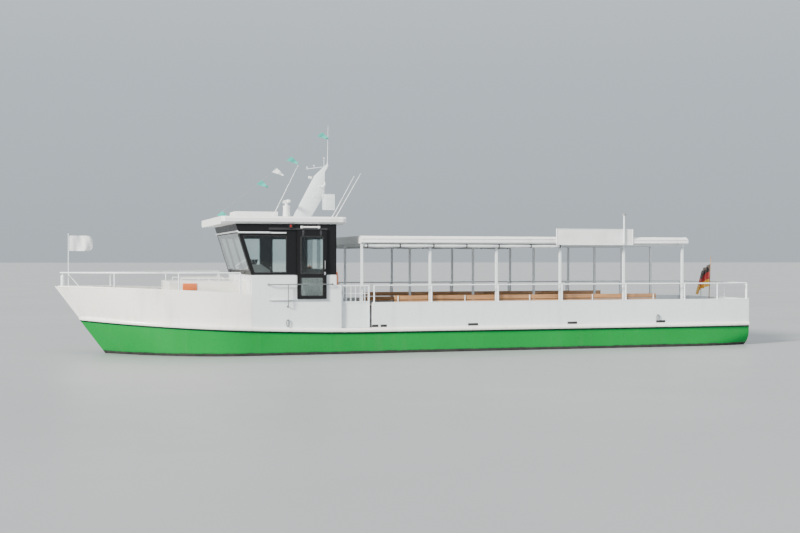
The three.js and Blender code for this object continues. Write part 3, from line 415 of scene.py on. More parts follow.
# Shapes
LEAST_RADIUS = 0.0005


def circle(count):
    """Cosine and sine of even steps round a circle."""
    turns = [2 * math.pi * step / count for step in range(count)]
    return [(math.cos(turn), math.sin(turn)) for turn in turns]


def spokes(axis, count):
    """Unit vectors at right angles to an axis, evenly round it."""
    side = axis.orthogonal().normalized()
    other = axis.cross(side)
    return [side * c + other * s for c, s in circle(count)]


def rounded(points, radius, closed=False, steps=4):
    """The same path with its corners rounded."""
    points = [Vector(point) for point in points]
    count = len(points)
    path = [] if closed else [points[0]]
    for i in range(count) if closed else range(1, count - 1):
        corner = points[i]
        back, on = points[i - 1] - corner, points[(i + 1) % count] - corner
        reach = min(radius, back.length * 0.45, on.length * 0.45)
        start, end = corner + back.normalized() * reach, corner + on.normalized() * reach
        for step in range(steps + 1):
            t = step / steps
            path.append(start * (1 - t) ** 2 + corner * 2 * t * (1 - t) + end * t * t)
    return path if closed else [*path, points[-1]]


def other_side(points):
    return [Vector((p.x, -p.y, p.z)) for p in points]


class Shape:
    """A piece in the making: closed forms gathered in one mesh, each with a material's number."""

    def __init__(self):
        self.mesh = bmesh.new()
        self.number = 0

    def faces(self, points, corner_lists):
        verts = [self.mesh.verts.new(point) for point in points]
        made = [self.mesh.faces.new([verts[i] for i in corners]) for corners in corner_lists]
        for face in made:
            face.material_index = self.number
        return made

    def soften(self, faces, width, segments=2):
        edges = {edge for face in faces for edge in face.edges}
        how = {"segments": segments, "profile": 0.5, "affect": "EDGES", "clamp_overlap": True}
        bmesh.ops.bevel(self.mesh, geom=list(edges), offset=width, **how)

    def box(self, corner, opposite, bevel, segments=2):
        xs, ys, zs = [sorted(span) for span in zip(corner, opposite)]
        points = [(x, y, z) for x in xs for y in ys for z in zs]
        corners = [(0, 1, 3, 2), (4, 6, 7, 5), (0, 4, 5, 1), (2, 3, 7, 6), (0, 2, 6, 4), (1, 5, 7, 3)]
        self.soften(self.faces(points, corners), bevel, segments)

    def block(self, x, y, half_long, half_wide, low, high, bevel):
        """A box centred on x and y."""
        self.box((x - half_long, y - half_wide, low), (x + half_long, y + half_wide, high), bevel)

    def rings(self, rings, closed=False):
        """A skin over a row of rings, capped at both ends unless it closes on itself."""
        count = len(rings[0])
        corners = []
        for s in range(len(rings) if closed else len(rings) - 1):
            t = (s + 1) % len(rings)
            for i in range(count):
                j = (i + 1) % count
                corners.append((s * count + i, s * count + j, t * count + j, t * count + i))
        if not closed:
            last = (len(rings) - 1) * count
            corners += [range(count - 1, -1, -1), range(last, last + count)]
        return self.faces([point for ring in rings for point in ring], corners)

    def tube(self, path, radius, sides=12, closed=False, flatten=1.0):
        """A round bar along a path; radius is a number or one for each point."""
        points = [Vector(point) for point in path]
        count = len(points)
        radii = radius if isinstance(radius, list) else [radius] * count
        directions = []
        for i in range(count):
            before = points[i - 1] if i or closed else points[0]
            after = points[(i + 1) % count] if i + 1 < count or closed else points[-1]
            directions.append((after - before).normalized())
        normal = directions[0].orthogonal().normalized()
        if abs(directions[0].z) < 0.9:
            normal = (Vector(UP) - directions[0] * directions[0].z).normalized()
        rings = []
        for point, along, size in zip(points, directions, radii):
            normal = (normal - along * normal.dot(along)).normalized()
            other = along.cross(normal)
            deep = size * flatten
            rings.append([point + normal * (deep * c) + other * (size * s) for c, s in circle(sides)])
        self.rings(rings, closed)

    def rod(self, start, end, radius, sides=12):
        """A straight bar with slightly rounded ends."""
        start, end = Vector(start), Vector(end)
        soft = (end - start).normalized() * (radius * 0.3)
        radii = [radius * 0.75, radius, radius, radius * 0.75]
        self.tube([start, start + soft, end - soft, end], radii, sides)

    def lathe(self, centre, outline, sides=24, axis=UP):
        """A body of revolution; outline lists (distance along the axis, radius)."""
        axis = Vector(axis).normalized()
        around = spokes(axis, sides)
        rings = []
        for along, radius in outline:
            middle = Vector(centre) + axis * along
            rings.append([middle + spoke * max(radius, LEAST_RADIUS) for spoke in around])
        self.rings(rings)

    def torus(self, centre, axis, radius, tube, sides, steps):
        path = [Vector(centre) + spoke * radius for spoke in spokes(Vector(axis), steps)]
        self.tube(path, tube, sides, closed=True)

    def prism(self, outline, low, high, bevel=0.0):
        """A flat outline of (x, z) corners, thickened along y."""
        made = self.rings([[(x, y, z) for x, z in outline] for y in (low, high)])
        if bevel:
            self.soften(made, bevel)

    def web(self, x, outline):
        """A stiffener of 10 mm plate that stands across the boat; outline lists (y, z)."""
        self.rings([[(x + half, y, z) for y, z in outline] for half in (-0.005, 0.005)])

    def ball(self, centre, radius, squash=1.0, sides=16):
        turns = [math.pi * step / 8 for step in range(9)]
        outline = [(-math.cos(turn) * radius * squash, math.sin(turn) * radius) for turn in turns]
        self.lathe(centre, outline, sides)

    def gasket(self, corners, radius, corner):
        """A rubber or a rim that runs round a frame's rounded corners."""
        self.tube(rounded(corners, corner, closed=True), radius, 8, closed=True)


def as_list(value):
    return value if isinstance(value, (list, tuple)) else [value]


def piece(name, shape, materials, replaces=(), body="hull_body", angle=32):
    mesh = bpy.data.meshes.new(name)
    bmesh.ops.recalc_face_normals(shape.mesh, faces=shape.mesh.faces)
    shape.mesh.to_mesh(mesh)
    shape.mesh.free()
    for polygon in mesh.polygons:
        polygon.use_smooth = True
    mesh.set_sharp_from_angle(angle=math.radians(angle))
    obj = link(name, mesh)
    for material in as_list(materials):
        mesh.materials.append(material)
    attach(obj, body)
    if replaces:
        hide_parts(*as_list(replaces))
    return obj


# Hull: the same form as the solid's, with finer stations
BILGE_STEPS, SIDE_STEPS, BOW_STEPS = 8, 6, 34
BULWARK_INNER = (HALF_BEAM - PLATE, 2 * PLATE)
AFT_XS = [BULWARK_START_X, 0.0, -2.0, -4.0, -6.0, -7.0, -7.5, -8.0, -8.4, -8.8, -9.2, -9.6, STERN_X]


def section_rows(half_breadth, bottom, deck):
    """Half-breadths and heights up one side: round the bilge, then straight."""
    rows = []
    for step in range(BILGE_STEPS + 1):
        angle = math.pi / 2 * step / BILGE_STEPS
        y = half_breadth - BILGE_RADIUS + BILGE_RADIUS * math.sin(angle)
        rows.append((y, bottom + BILGE_RADIUS * (1 - math.cos(angle))))
    y, low = rows[-1]
    return rows + [(y, low + (deck - low) * step / SIDE_STEPS) for step in range(1, SIDE_STEPS + 1)]


def whole_ring(half, bottom, deck):
    """A port half-section closed over the deck and down the other side."""
    keel, middle = Vector((half[0].x, 0, bottom)), Vector((half[-1].x, 0, deck))
    return [keel, *half, middle, *other_side(reversed(half))]


def make_hull():
    shape = Shape()
    rings = []
    for x in [-10, -9.6, -9.2, -8.8, -8.4, -8, -7.5, -7.2, -6.8, -6.4, -6, -4, -2, 0, 2, 4, 4.999]:
        half = [Vector((x, y, z)) for y, z in section_rows(aft_half_breadth(x), bottom_z(x), DECK_Z)]
        rings.append(whole_ring(half, bottom_z(x), DECK_Z))
    for step in range(BOW_STEPS + 1):
        share = bow_share(step, BOW_STEPS)
        half = [bow_point(share, z, y) for y, z in section_rows(HALF_BEAM, -DRAUGHT, FOREDECK_Z)]
        rings.append(whole_ring(half, -DRAUGHT, FOREDECK_Z))
    for face in shape.rings(rings):
        face.normal_update()
        if abs(face.normal.z) > 0.95 and face.calc_center_median().z > 0.6:
            face.material_index = 1
    stem = [(stem_x(z) - 0.012, 0, z) for z in (0.98, 0.5, 0.0, -0.3, -0.55, -0.75, -0.87)]
    shape.tube(stem, STEM_HALF_WIDTH + 0.004, 14)
    for side in SIDES.values():
        shape.tube([(RUDDER_X, side * SHAFT_Y, -0.3), (RUDDER_X, side * SHAFT_Y, 0)], 0.06, 20)
    piece("hull_plating", shape, [hull_paint, deck_paint], ("hull", "hull_bow"))


def bulwark_edges(share, *inner):
    return bow_point(share, FOREDECK_Z, *inner), bow_point_at(share, bulwark_top_z, *inner)


def make_bow_bulwark():
    """Plating with a round cap, stiffeners inside, and a plate that ties both sides at the stem."""
    shape = Shape()
    port = []
    for step in range(BOW_STEPS + 1):
        share = bow_share(step, BOW_STEPS)
        low, high = bulwark_edges(share)
        low_in, high_in = bulwark_edges(share, *BULWARK_INNER)
        port.append([low, low.lerp(high, 0.33), low.lerp(high, 0.66), high, high_in, low_in])
    shape.rings(port + [other_side(ring) for ring in reversed(port)])
    cap = [bow_point_at(bow_share(step, 48), bulwark_top_z) for step in range(47)]
    inboard = [Vector((p.x - 0.012, max(0.0, p.y - 0.024), p.z - 0.012)) for p in cap]
    shape.tube(inboard + other_side(reversed(inboard)), 0.026, 10)
    for side in SIDES.values():
        for share in (0.1, 0.24, 0.38, 0.52, 0.64, 0.75, 0.85):
            root, top = bulwark_edges(share, *BULWARK_INNER)
            reach = min(0.16, root.y * 0.5)
            outline = [(root.y + 0.02, FOREDECK_Z), (root.y - reach, FOREDECK_Z)]
            outline += [(top.y - 0.03, top.z - 0.05), (top.y + 0.02, top.z - 0.05)]
            shape.web(root.x, [(side * y, z) for y, z in outline])
    rings = []
    for share in (0.8, 0.86, 0.92, 0.96, 0.985):
        p = bow_point_at(share, bulwark_top_z)
        y, low, high = max(0.02, p.y - 0.03), p.z - 0.045, p.z - 0.012
        rings.append([(p.x, y, low), (p.x, y, high), (p.x, -y, high), (p.x, -y, low)])
    shape.rings(rings)
    piece("bow_bulwark_plating", shape, sunlit_white_paint, "bulwark_bow")


def rail_post(shape, x, y):
    """A handrail's post on the bulwark, with its foot."""
    shape.rod((x, y, BULWARK_AFT_Z - 0.02), (x, y, HANDRAIL_Z), RAIL_RADIUS, 14)
    shape.lathe((x, y, BULWARK_AFT_Z), [(0, 0.028), (0.02, 0.028), (0.035, 0.021)], 16)


def make_side_bulwark(name, side):
    shape = Shape()
    rings = []
    for x in AFT_XS:
        outer, inner = side * aft_half_breadth(x), side * (aft_half_breadth(x) - PLATE)
        corners = [(outer, DECK_Z), (outer, BULWARK_AFT_Z), (inner, BULWARK_AFT_Z), (inner, DECK_Z)]
        rings.append([(x, y, z) for y, z in corners])
    shape.rings(rings)
    cap_xs = [*AFT_XS[:-1], STERN_X + 0.006]
    cap = [(x, side * (aft_half_breadth(x) - PLATE / 2), BULWARK_AFT_Z - 0.004) for x in cap_xs]
    shape.tube(cap, 0.034, 10, flatten=0.5)
    for x in [0.4, -0.5, -1.4, -2.4, -3.3, -4.3, -5.2, -6.3, -7.2, -8.1, -9.0]:
        y, top = aft_half_breadth(x) - PLATE, BULWARK_AFT_Z - 0.06
        outline = [(y + 0.01, DECK_Z), (y - 0.12, DECK_Z), (y - 0.03, top), (y + 0.01, top)]
        shape.web(x, [(side * y, z) for y, z in outline])
    inboard = HALF_BEAM - HANDRAIL_Y
    ends = [BULWARK_START_X - 0.06, STERN_X + 0.06]
    rail_xs = [ends[0], *AFT_XS[1:-1], ends[1]]
    shape.tube([(x, side * (aft_half_breadth(x) - inboard), HANDRAIL_Z) for x in rail_xs], RAIL_RADIUS, 14)
    for x in [*POST_XS[1:], ends[0], -8.9, ends[1]]:
        rail_post(shape, x, side * (aft_half_breadth(x) - inboard))
    piece(f"side_bulwark_{name}", shape, white_paint, f"bulwark_{name}")


def make_stern_bulwark():
    shape = Shape()
    half = aft_half_breadth(STERN_X) - PLATE - 0.0003
    face, middle, top = STERN_X + PLATE, STERN_X + PLATE / 2, BULWARK_AFT_Z
    shape.box((STERN_X, -half, DECK_Z), (face, half, top), 0.004)
    shape.tube([(middle, y, top - 0.004) for y in (-half + 0.02, half - 0.02)], 0.0295, 10, flatten=0.5)
    outer = half - 0.06
    for y in (-outer, -0.7, 0.7, outer):
        rail_post(shape, middle, y)
    shape.rod((middle, -outer - 0.015, HANDRAIL_Z), (middle, outer + 0.015, HANDRAIL_Z), RAIL_RADIUS, 14)
    for y in (-1.5, -0.9, -0.3, 0.3, 0.9, 1.5):
        outline = [(face - 0.01, DECK_Z), (face + 0.12, DECK_Z), (face + 0.03, 1.32), (face - 0.01, 1.32)]
        shape.prism(outline, y - 0.005, y + 0.005)
    piece("stern_bulwark_plating", shape, white_paint, "bulwark_stern")


RUB_RAIL_STEPS = 34
RUB_RAIL_PROFILE = [
    (-0.03, -0.05), (0.045, -0.053), (0.075, -0.04), (0.089, -0.015), (0.089, 0.015), (0.075, 0.04),
    (0.045, 0.053), (-0.03, 0.05),
]


def make_rub_rail(name, side):
    """A bar round the sheer that slims down towards the stem."""
    rings = []
    for x in [-9.965, -9.6, -9.2, -8.8, -8.4, -8, -7.5, -6.8, -6, -4, -2, 0, 2, 3, 4, 4.9]:
        y, z = aft_half_breadth(x), rub_rail_z(x)
        rings.append([(x, side * (y + out), z + up) for out, up in RUB_RAIL_PROFILE])
    for step in range(1, RUB_RAIL_STEPS):
        share = bow_share(step, RUB_RAIL_STEPS)
        slim = (1 - 0.35 * share) * min(1.0, (RUB_RAIL_STEPS - step) / 3)
        at = bow_point_at(share, rub_rail_z)
        ahead = bow_point_at(share + 0.004, rub_rail_z)
        outward = Vector((ahead.y - at.y, at.x - ahead.x, 0)).normalized()
        outward = -outward if outward.y < 0 else outward
        places = [at + outward * out * slim + Vector((0, 0, up)) for out, up in RUB_RAIL_PROFILE]
        rings.append([(p.x, side * p.y, p.z) for p in places])
    shape = Shape()
    shape.rings(rings)
    piece(f"rub_rail_bar_{name}", shape, sunlit_white_paint, f"rub_rail_{name}")


# Bow rail, stem post, flagstaff and braces
BOW_RAIL_Z = 2.2
STEM_POST_X, STAFF_X, STAFF_TOP = 9.79, 9.64, 3.26


def flange(shape, place, radius):
    outline = [(0, radius * 1.7), (0.006, radius * 1.7), (0.01, radius * 1.5), (0.022, radius * 1.05)]
    shape.lathe(place, outline, 18)


def make_bow_rail():
    shape = Shape()
    tip = Vector((STEM_POST_X + 0.04, 0, BOW_RAIL_Z))

    def edge(share, side, z=None):
        at = bow_point_at(share, bulwark_top_z)
        return Vector((at.x, side * max(0.0, at.y - 0.03), at.z if z is None else z))

    port = [edge(0.06 + 0.91 * step / 22, 1, BOW_RAIL_Z) for step in range(23)]
    ends = [tip + Vector((0, 0.006, 0)), tip - Vector((0, 0.006, 0))]
    shape.tube([*port, *ends, *other_side(reversed(port))], RAIL_RADIUS, 14)
    for side in SIDES.values():
        for share in (0.06, 0.38, 0.7):
            foot = edge(share, side)
            shape.rod(foot - Vector((0, 0, 0.01)), edge(share, side, BOW_RAIL_Z), RAIL_RADIUS, 14)
            flange(shape, foot, RAIL_RADIUS)
        knee_z = edge(0.06, side).z + 0.05
        knee = [edge(0.06, side, BOW_RAIL_Z - 0.005), edge(0.075, side, 2.02), edge(0.1, side, knee_z)]
        shape.tube(knee, 0.009, 8)
        low = Vector((9.35, side * 0.15, 1.815))
        shape.rod((STAFF_X, 0, 2.16), low, 0.012)
        flange(shape, low - Vector((0, 0, 0.012)), 0.012)
    shape.lathe((STEM_POST_X, 0, 1.8), [(0.0, 0.055), (0.31, 0.055), (0.326, 0.048), (0.33, 0.02)], 20)
    shape.lathe((STEM_POST_X, 0, 1.83), [(0, 0.066), (0.012, 0.066), (0.014, 0.056)], 20)
    shape.rod((STEM_POST_X, 0, 2.12), (STEM_POST_X, 0, BOW_RAIL_Z), RAIL_RADIUS)
    shape.tube([(STAFF_X, 0, z) for z in (1.8, 2.6, STAFF_TOP - 0.03)], [0.014, 0.014, 0.011])
    shape.ball((STAFF_X, 0, STAFF_TOP - 0.02), 0.02, 0.8)
    shape.rod((STAFF_X, 0, BOW_RAIL_Z), tip, 0.014)
    for z in (2.79, 3.2):
        shape.lathe((STAFF_X, 0, z), [(0, 0.017), (0.012, 0.017)], 12)
    piece("bow_rail_pipes", shape, white_paint, "bow_rail")


# Flags: cloth hanging from a hoist edge, in folds that grow towards the fly
def cloth_sheet(name, rows, columns, place_at, material, slot, node=(), thick=0.002):
    """A thin closed sheet; place_at(u, v) gives the cloth's middle, u from the hoist and v from the top."""
    grid = [[Vector(place_at(c / columns, r / rows)) for c in range(columns + 1)] for r in range(rows + 1)]

    def normal_at(r, c):
        across = grid[r][min(c + 1, columns)] - grid[r][max(c - 1, 0)]
        down = grid[min(r + 1, rows)][c] - grid[max(r - 1, 0)][c]
        return across.cross(down).normalized()

    points = []
    for sign in (0.5, -0.5):
        for r in range(rows + 1):
            points += [grid[r][c] + normal_at(r, c) * (thick * sign) for c in range(columns + 1)]
    width = columns + 1
    back = (rows + 1) * width
    corners = both_faces(rows, columns, back)
    edges = [(c, c + 1, False) for c in range(columns)]
    edges += [(rows * width + c, rows * width + c + 1, True) for c in range(columns)]
    edges += [(r * width, (r + 1) * width, True) for r in range(rows)]
    edges += [(r * width + columns, (r + 1) * width + columns, False) for r in range(rows)]
    for start, end, flip in edges:
        quad = (start, end, back + end, back + start)
        corners.append(quad if flip else quad[::-1])
    shape = Shape()
    shape.faces(points, corners)
    return piece(name, shape, material, node, angle=70)


def both_faces(rows, columns, back):
    """The quads of a grid of points, and of the same grid behind it turned round."""
    width = columns + 1
    corners = []
    for r in range(rows):
        for c in range(columns):
            a, b, d, e = r * width + c, r * width + c + 1, (r + 1) * width + c + 1, (r + 1) * width + c
            corners += [(a, b, d, e), (back + e, back + d, back + b, back + a)]
    return corners


BOW_FLAG_LONG, BOW_FLAG_HIGH = 0.64, 0.43
STERN_STAFF_X, STERN_STAFF_LEAN, STERN_STAFF_TOP = -9.82, -0.09, 2.64
ENSIGN_WIDE, ENSIGN_HIGH, ENSIGN_ROWS, ENSIGN_COLUMNS = 1.05, 0.7, 26, 60
ENSIGN_TOP, ENSIGN_BOTTOM, ENSIGN_REACH = 2.42, 1.37, 0.45


def bow_flag_place(u, v):
    """A light breeze: ripples run along the fly, and its free corners round off and droop a little."""
    reach = u * BOW_FLAG_LONG * (1 - 0.16 * u * (2 * v - 1) ** 4)
    wave = 0.032 * u ** 0.7 * math.sin(9.5 * u + 1.6 * v) + 0.008 * u * math.sin(23 * u - 3 * v)
    drop = 0.022 * u * u * math.sin(2.6 * v)
    z = STAFF_TOP - 0.05 - BOW_FLAG_HIGH * (0.02 + 0.96 * v) - drop * 0.5
    return STAFF_X - 0.017 - reach * 0.97, wave, z


def stern_staff_x(z):
    return STERN_STAFF_X + STERN_STAFF_LEAN * (z - DECK_Z) / (STERN_STAFF_TOP - DECK_Z)


def ensign_place(u, v):
    """No wind aft: the fly falls down beside the staff in deep upright folds."""
    fall = u ** 1.25
    z = ENSIGN_TOP - 0.01 - v * ENSIGN_HIGH * (1 - 0.12 * fall) - fall * 0.36
    reach = ENSIGN_REACH * 0.93 * math.sin(min(1.0, u * 1.25) * math.pi / 2) * (0.62 + 0.38 * v)
    fold = 0.075 * min(1.0, 3 * u) * math.sin(26 * u + 1.2 * v) + 0.010 * u * math.sin(41 * u)
    return stern_staff_x(z) + 0.017 + reach, fold, max(z, ENSIGN_BOTTOM + 0.01 * (1 - u))


def make_flags():
    flag = cloth_sheet("bow_flag_cloth", 20, 34, bow_flag_place, flag_cloth, "flag_cloth", "bow_flag")
    size = (ENSIGN_ROWS, ENSIGN_COLUMNS)
    ensign = cloth_sheet("ensign_cloth", *size, ensign_place, striped_cloth, "flag_cloth", "ensign")
    stripe = ensign.data.attributes.new("stripe", "FLOAT", "POINT")
    layer = [row / ENSIGN_ROWS for row in range(ENSIGN_ROWS + 1) for _ in range(ENSIGN_COLUMNS + 1)]
    stripe.data.foreach_set("value", layer + layer)
    shape = Shape()
    points = [(stern_staff_x(z), 0, z) for z in (DECK_Z, 1.4, 2.0, STERN_STAFF_TOP - 0.03)]
    shape.tube(points, [0.014, 0.0138, 0.013, 0.011], 14)
    shape.ball((stern_staff_x(STERN_STAFF_TOP), 0, STERN_STAFF_TOP - 0.022), 0.021, 0.8)
    shape.number = 1
    foot = [(0, 0.06), (0.01, 0.06), (0.013, 0.03), (0.16, 0.021)]
    shape.lathe((stern_staff_x(DECK_Z), 0, DECK_Z + GAP), foot)
    piece("stern_staff_pole", shape, [staff_wood, steel], "stern_staff")


# Wheelhouse fittings: gaskets round the glass, drip strips, wipers
WINDOW_REAR, WINDOW_FRONT, WINDOW_BOTTOM, WINDOW_TOP = 4.07, 4.925, 2.2, 3.185
FRONT_PANES = [(-2.01, -0.73), (-0.67, 0.67), (0.73, 2.01)]
FRONT_BOTTOM, FRONT_TOP = 2.28, 3.24
REAR_PANES = [(-1.75, -0.09), (0.09, 1.75)]
REAR_BOTTOM, REAR_TOP = 2.3, 3.15
DOOR_REAR, DOOR_FRONT, DOOR_OUTER = 2.98, 3.78, 2.198
DOOR_LIGHTS = [(1.58, 2.07), (2.17, 3.17)]
STRIP_Z, BROW_Z = 3.27, 3.3


def make_gaskets():
    shape = Shape()
    lean = front_lean_x(WINDOW_TOP) - front_lean_x(WINDOW_BOTTOM)
    for side in SIDES.values():
        y = side * (HALF_BEAM - 0.0105)
        corners = [(WINDOW_REAR, y, WINDOW_BOTTOM), (WINDOW_FRONT, y, WINDOW_BOTTOM)]
        corners += [(WINDOW_FRONT + lean, y, WINDOW_TOP), (WINDOW_REAR, y, WINDOW_TOP)]
        shape.gasket(corners, 0.013, 0.03)
    for y0, y1 in REAR_PANES:
        corners = [(y0, REAR_BOTTOM), (y1, REAR_BOTTOM), (y1, REAR_TOP), (y0, REAR_TOP)]
        shape.gasket([(HOUSE_REAR, y, z) for y, z in corners], 0.013, 0.03)
    half, bottom, top = FRONT_PANES[2][1] + 0.02, FRONT_BOTTOM - 0.02, FRONT_TOP + 0.02
    corners = [(-half, bottom), (half, bottom), (half, top), (-half, top)]
    shape.gasket([(front_lean_x(z) + 0.004, y, z) for y, z in corners], 0.009, 0.03)
    piece("window_gaskets", shape, rubber)


def make_house_trim():
    """Strips over the side window and along the sill: thin where the door slides across them."""
    shape = Shape()
    door_reach = DOOR_FRONT + 0.74
    for side in SIDES.values():
        y, inner, outer = [side * (HALF_BEAM + out) for out in (0.012, 0.0002, 0.0026)]
        shape.box((4.07, inner, STRIP_Z - 0.022), (door_reach, outer, STRIP_Z + 0.013), 0.0008)
        ends = (door_reach, front_lean_x(STRIP_Z) + 0.012)
        shape.tube([(x, y, STRIP_Z) for x in ends], 0.022, 10)
        for x0, x1 in ((HOUSE_REAR, DOOR_REAR - 0.02), (DOOR_FRONT + 0.02, HOUSE_FRONT)):
            shape.box((x0, inner, HOUSE_SILL - 0.011), (x1, outer, HOUSE_SILL + 0.011), 0.0008)
    half = HALF_BEAM + 0.012
    shape.tube([(front_lean_x(BROW_Z) + 0.014, y, BROW_Z) for y in (-half, half)], 0.022, 10)
    shape.tube([(HOUSE_FRONT + 0.008, y, HOUSE_SILL) for y in (-HALF_BEAM, HALF_BEAM)], 0.012, 8)
    piece("drip_strips", shape, white_paint)


def make_wipers():
    """Parked along the lower edge of each pane, on motors under the glass."""
    shape = Shape()
    slope = Vector((HOUSE_LEAN, 0, HOUSE_TOP - HOUSE_SILL)).normalized()
    out = Vector((slope.z, 0, -slope.x))
    z, half_blade = FRONT_BOTTOM - 0.07, Vector((0, 0.25, 0))
    for y0, y1 in FRONT_PANES:
        pivot = Vector((front_lean_x(z), (y0 + y1) / 2 - 0.3, z))
        motor = [(0, 0.026), (0.012, 0.026), (0.02, 0.014), (0.034, 0.012)]
        shape.lathe(pivot + out * 0.0005, motor, 16, out)
        tip = pivot + Vector((0, 0.46, 0)) + slope * 0.085 + out * 0.026
        shape.tube([pivot + out * 0.03, tip], [0.007, 0.004], 8)
        shape.tube([tip - half_blade, tip + half_blade], 0.007, 8, flatten=0.6)
    piece("wipers", shape, black_plastic)


def pull_handle(shape, x, root, out, low, high):
    """A bent bar that stands off a door at root as far as out."""
    shape.tube(rounded([(x, root, low), (x, out, low), (x, out, high), (x, root, high)], 0.02), 0.008, 10)


def make_door_fittings(name, side):
    """Seals round both lights, a pull handle with its lock, two hangers, and the door's tracks."""
    door = f"side_door_{name}"
    y = side * (DOOR_OUTER + 0.0005)
    x0, x1 = DOOR_REAR + 0.1, DOOR_FRONT - 0.1
    shape = Shape()
    for low, high in DOOR_LIGHTS:
        shape.gasket([(x0, y, low), (x1, y, low), (x1, y, high), (x0, y, high)], 0.011, 0.04)
    piece(f"door_seals_{name}", shape, rubber, body=door)
    shape = Shape()
    x = DOOR_REAR + 0.05
    pull_handle(shape, x, y, y + side * 0.03, 2.3, 2.52)
    shape.box((DOOR_REAR + 0.03, y, 2.14), (DOOR_REAR + 0.07, y + side * 0.004, 2.22), 0.0015)
    shape.lathe((x, y, 2.18), [(0, 0.012), (0.008, 0.012), (0.009, 0.008)], 16, (0, side, 0))
    shape.number = 1
    for x in (DOOR_REAR + 0.16, DOOR_FRONT - 0.16):
        shape.box((x - 0.02, y, 3.2), (x + 0.02, y + side * 0.005, 3.325), 0.0015)
    piece(f"door_handle_{name}", shape, [steel, black_plastic], body=door)
    shape = Shape()
    wall = side * (HALF_BEAM + 0.0006)
    rear, front = DOOR_REAR - 0.03, DOOR_FRONT + 0.76
    shape.box((rear, wall, 3.345), (front, side * 2.192, 3.362), 0.002)
    shape.box((rear, wall, 3.345), (front, wall + side * 0.006, 3.4), 0.002)
    shape.number = 1
    shape.box((rear, wall, 1.468), (front, side * 2.196, 1.48), 0.002)
    piece(f"door_track_{name}", shape, [black_plastic, white_paint])


def make_lamps():
    """A bar lamp over each door, and the sidelights on the wheelhouse sides."""
    shape = Shape()
    for side in SIDES.values():
        y, ends = side * (HALF_BEAM + 0.028), (3.19, 3.655)
        shape.tube([(x, y, 3.42) for x in ends], 0.026, 14)
        for x in ends:
            inner, outer = side * HALF_BEAM, side * (HALF_BEAM + 0.056)
            shape.box((x - 0.03, inner, 3.39), (x + 0.03, outer, 3.45), 0.006)
    piece("door_lamps", shape, white_plastic)
    for name, side in SIDES.items():
        shape = Shape()
        wall = side * (HALF_BEAM + 0.0005)
        shape.box((3.9, wall, 3.40), (4.0, wall + side * 0.075, 3.415), 0.003)
        shape.box((3.9, wall, 3.40), (4.0, wall + side * 0.012, 3.49), 0.003)
        shape.number = 1
        shape.lathe((3.95, wall + side * 0.045, 3.415), [(0, 0.028), (0.06, 0.028), (0.066, 0.02)], 18)
        lens = red_lens if side > 0 else green_lens
        piece(f"sidelight_{name}", shape, [black_plastic, lens])


def make_grab_rail(name, side):
    """A rail beside the door, with a post and a small hook."""
    rear, middle, front, z, foot_z = 2.815, 4.03, 4.545, 1.89, 1.3
    shape = Shape()
    y, wall = side * 2.24, side * (HALF_BEAM + 0.0003)
    rail = [(rear, wall, z), (rear, y, z), (front, y, z), (front, wall, z)]
    shape.tube(rounded(rail, 0.04), 0.0145, 14)
    post = [(middle, y, z - 0.005), (middle, y, foot_z), (middle, wall, foot_z)]
    shape.tube(rounded(post, 0.05), 0.013, 14)
    for place in ((rear, wall, z), (front, wall, z), (middle, wall, foot_z)):
        shape.lathe(place, [(0, 0.03), (0.005, 0.03), (0.008, 0.018)], 18, (0, side, 0))
    shape.tube(rounded([(middle, y, 1.42), (3.97, y, 1.43), (3.955, y, 1.47)], 0.02), 0.006, 8)
    piece(f"grab_rail_pipe_{name}", shape, rail_grey, f"grab_rail_{name}")


BUOY_Y, BUOY_Z, BUOY_RADIUS, BUOY_TUBE = 1.6, 2.01, 0.3, 0.055


def make_lifebuoy(name, side):
    """A ring with four light bands and a line looped round it."""
    centre = Vector((HOUSE_REAR - BUOY_TUBE - 0.0003, side * BUOY_Y, BUOY_Z))

    def place(angle, reach=BUOY_RADIUS, x=0.0):
        return centre + Vector((x, math.cos(angle) * reach, math.sin(angle) * reach))

    shape = Shape()
    shape.torus(centre, AHEAD, BUOY_RADIUS, BUOY_TUBE - 0.001, 18, 48)
    shape.number = 1
    for quarter in range(4):
        middle = math.pi / 4 + quarter * math.pi / 2
        shape.tube([place(middle + (step / 6 - 0.5) * 0.34) for step in range(7)], BUOY_TUBE - 0.0002, 18)
    shape.number = 2
    path = []
    for angle in [2 * math.pi * step / 96 for step in range(96)]:
        slack = abs(math.sin(2 * (angle - math.pi / 4)))
        path.append(place(angle, BUOY_RADIUS + BUOY_TUBE * 0.72 + 0.012 * slack, -0.02))
    shape.tube(path, 0.006, 6, closed=True)
    looks = [orange_plastic, white_plastic, grab_line]
    piece(f"lifebuoy_ring_{name}", shape, looks, f"lifebuoy_{name}")


# Fittings on the hull and foredeck
TRUNK_HALF, TRUNK_TOP = 1.35, 1.97
LID_RISE, RAIL_LIFT = 0.09, 0.075


def bollard(shape, x, y, deck):
    """A pair of posts on one plate, with a crossbar through each."""
    shape.block(x, y, 0.2, 0.07, deck + GAP, deck + 0.014, 0.004)
    post = [(0, 0.05), (0.22, 0.05), (0.224, 0.062), (0.236, 0.062), (0.24, 0.05)]
    for at in (x - 0.11, x + 0.11):
        shape.lathe((at, y, deck + 0.01), post)
        shape.rod((at, y - 0.09, deck + 0.15), (at, y + 0.09, deck + 0.15), 0.011)


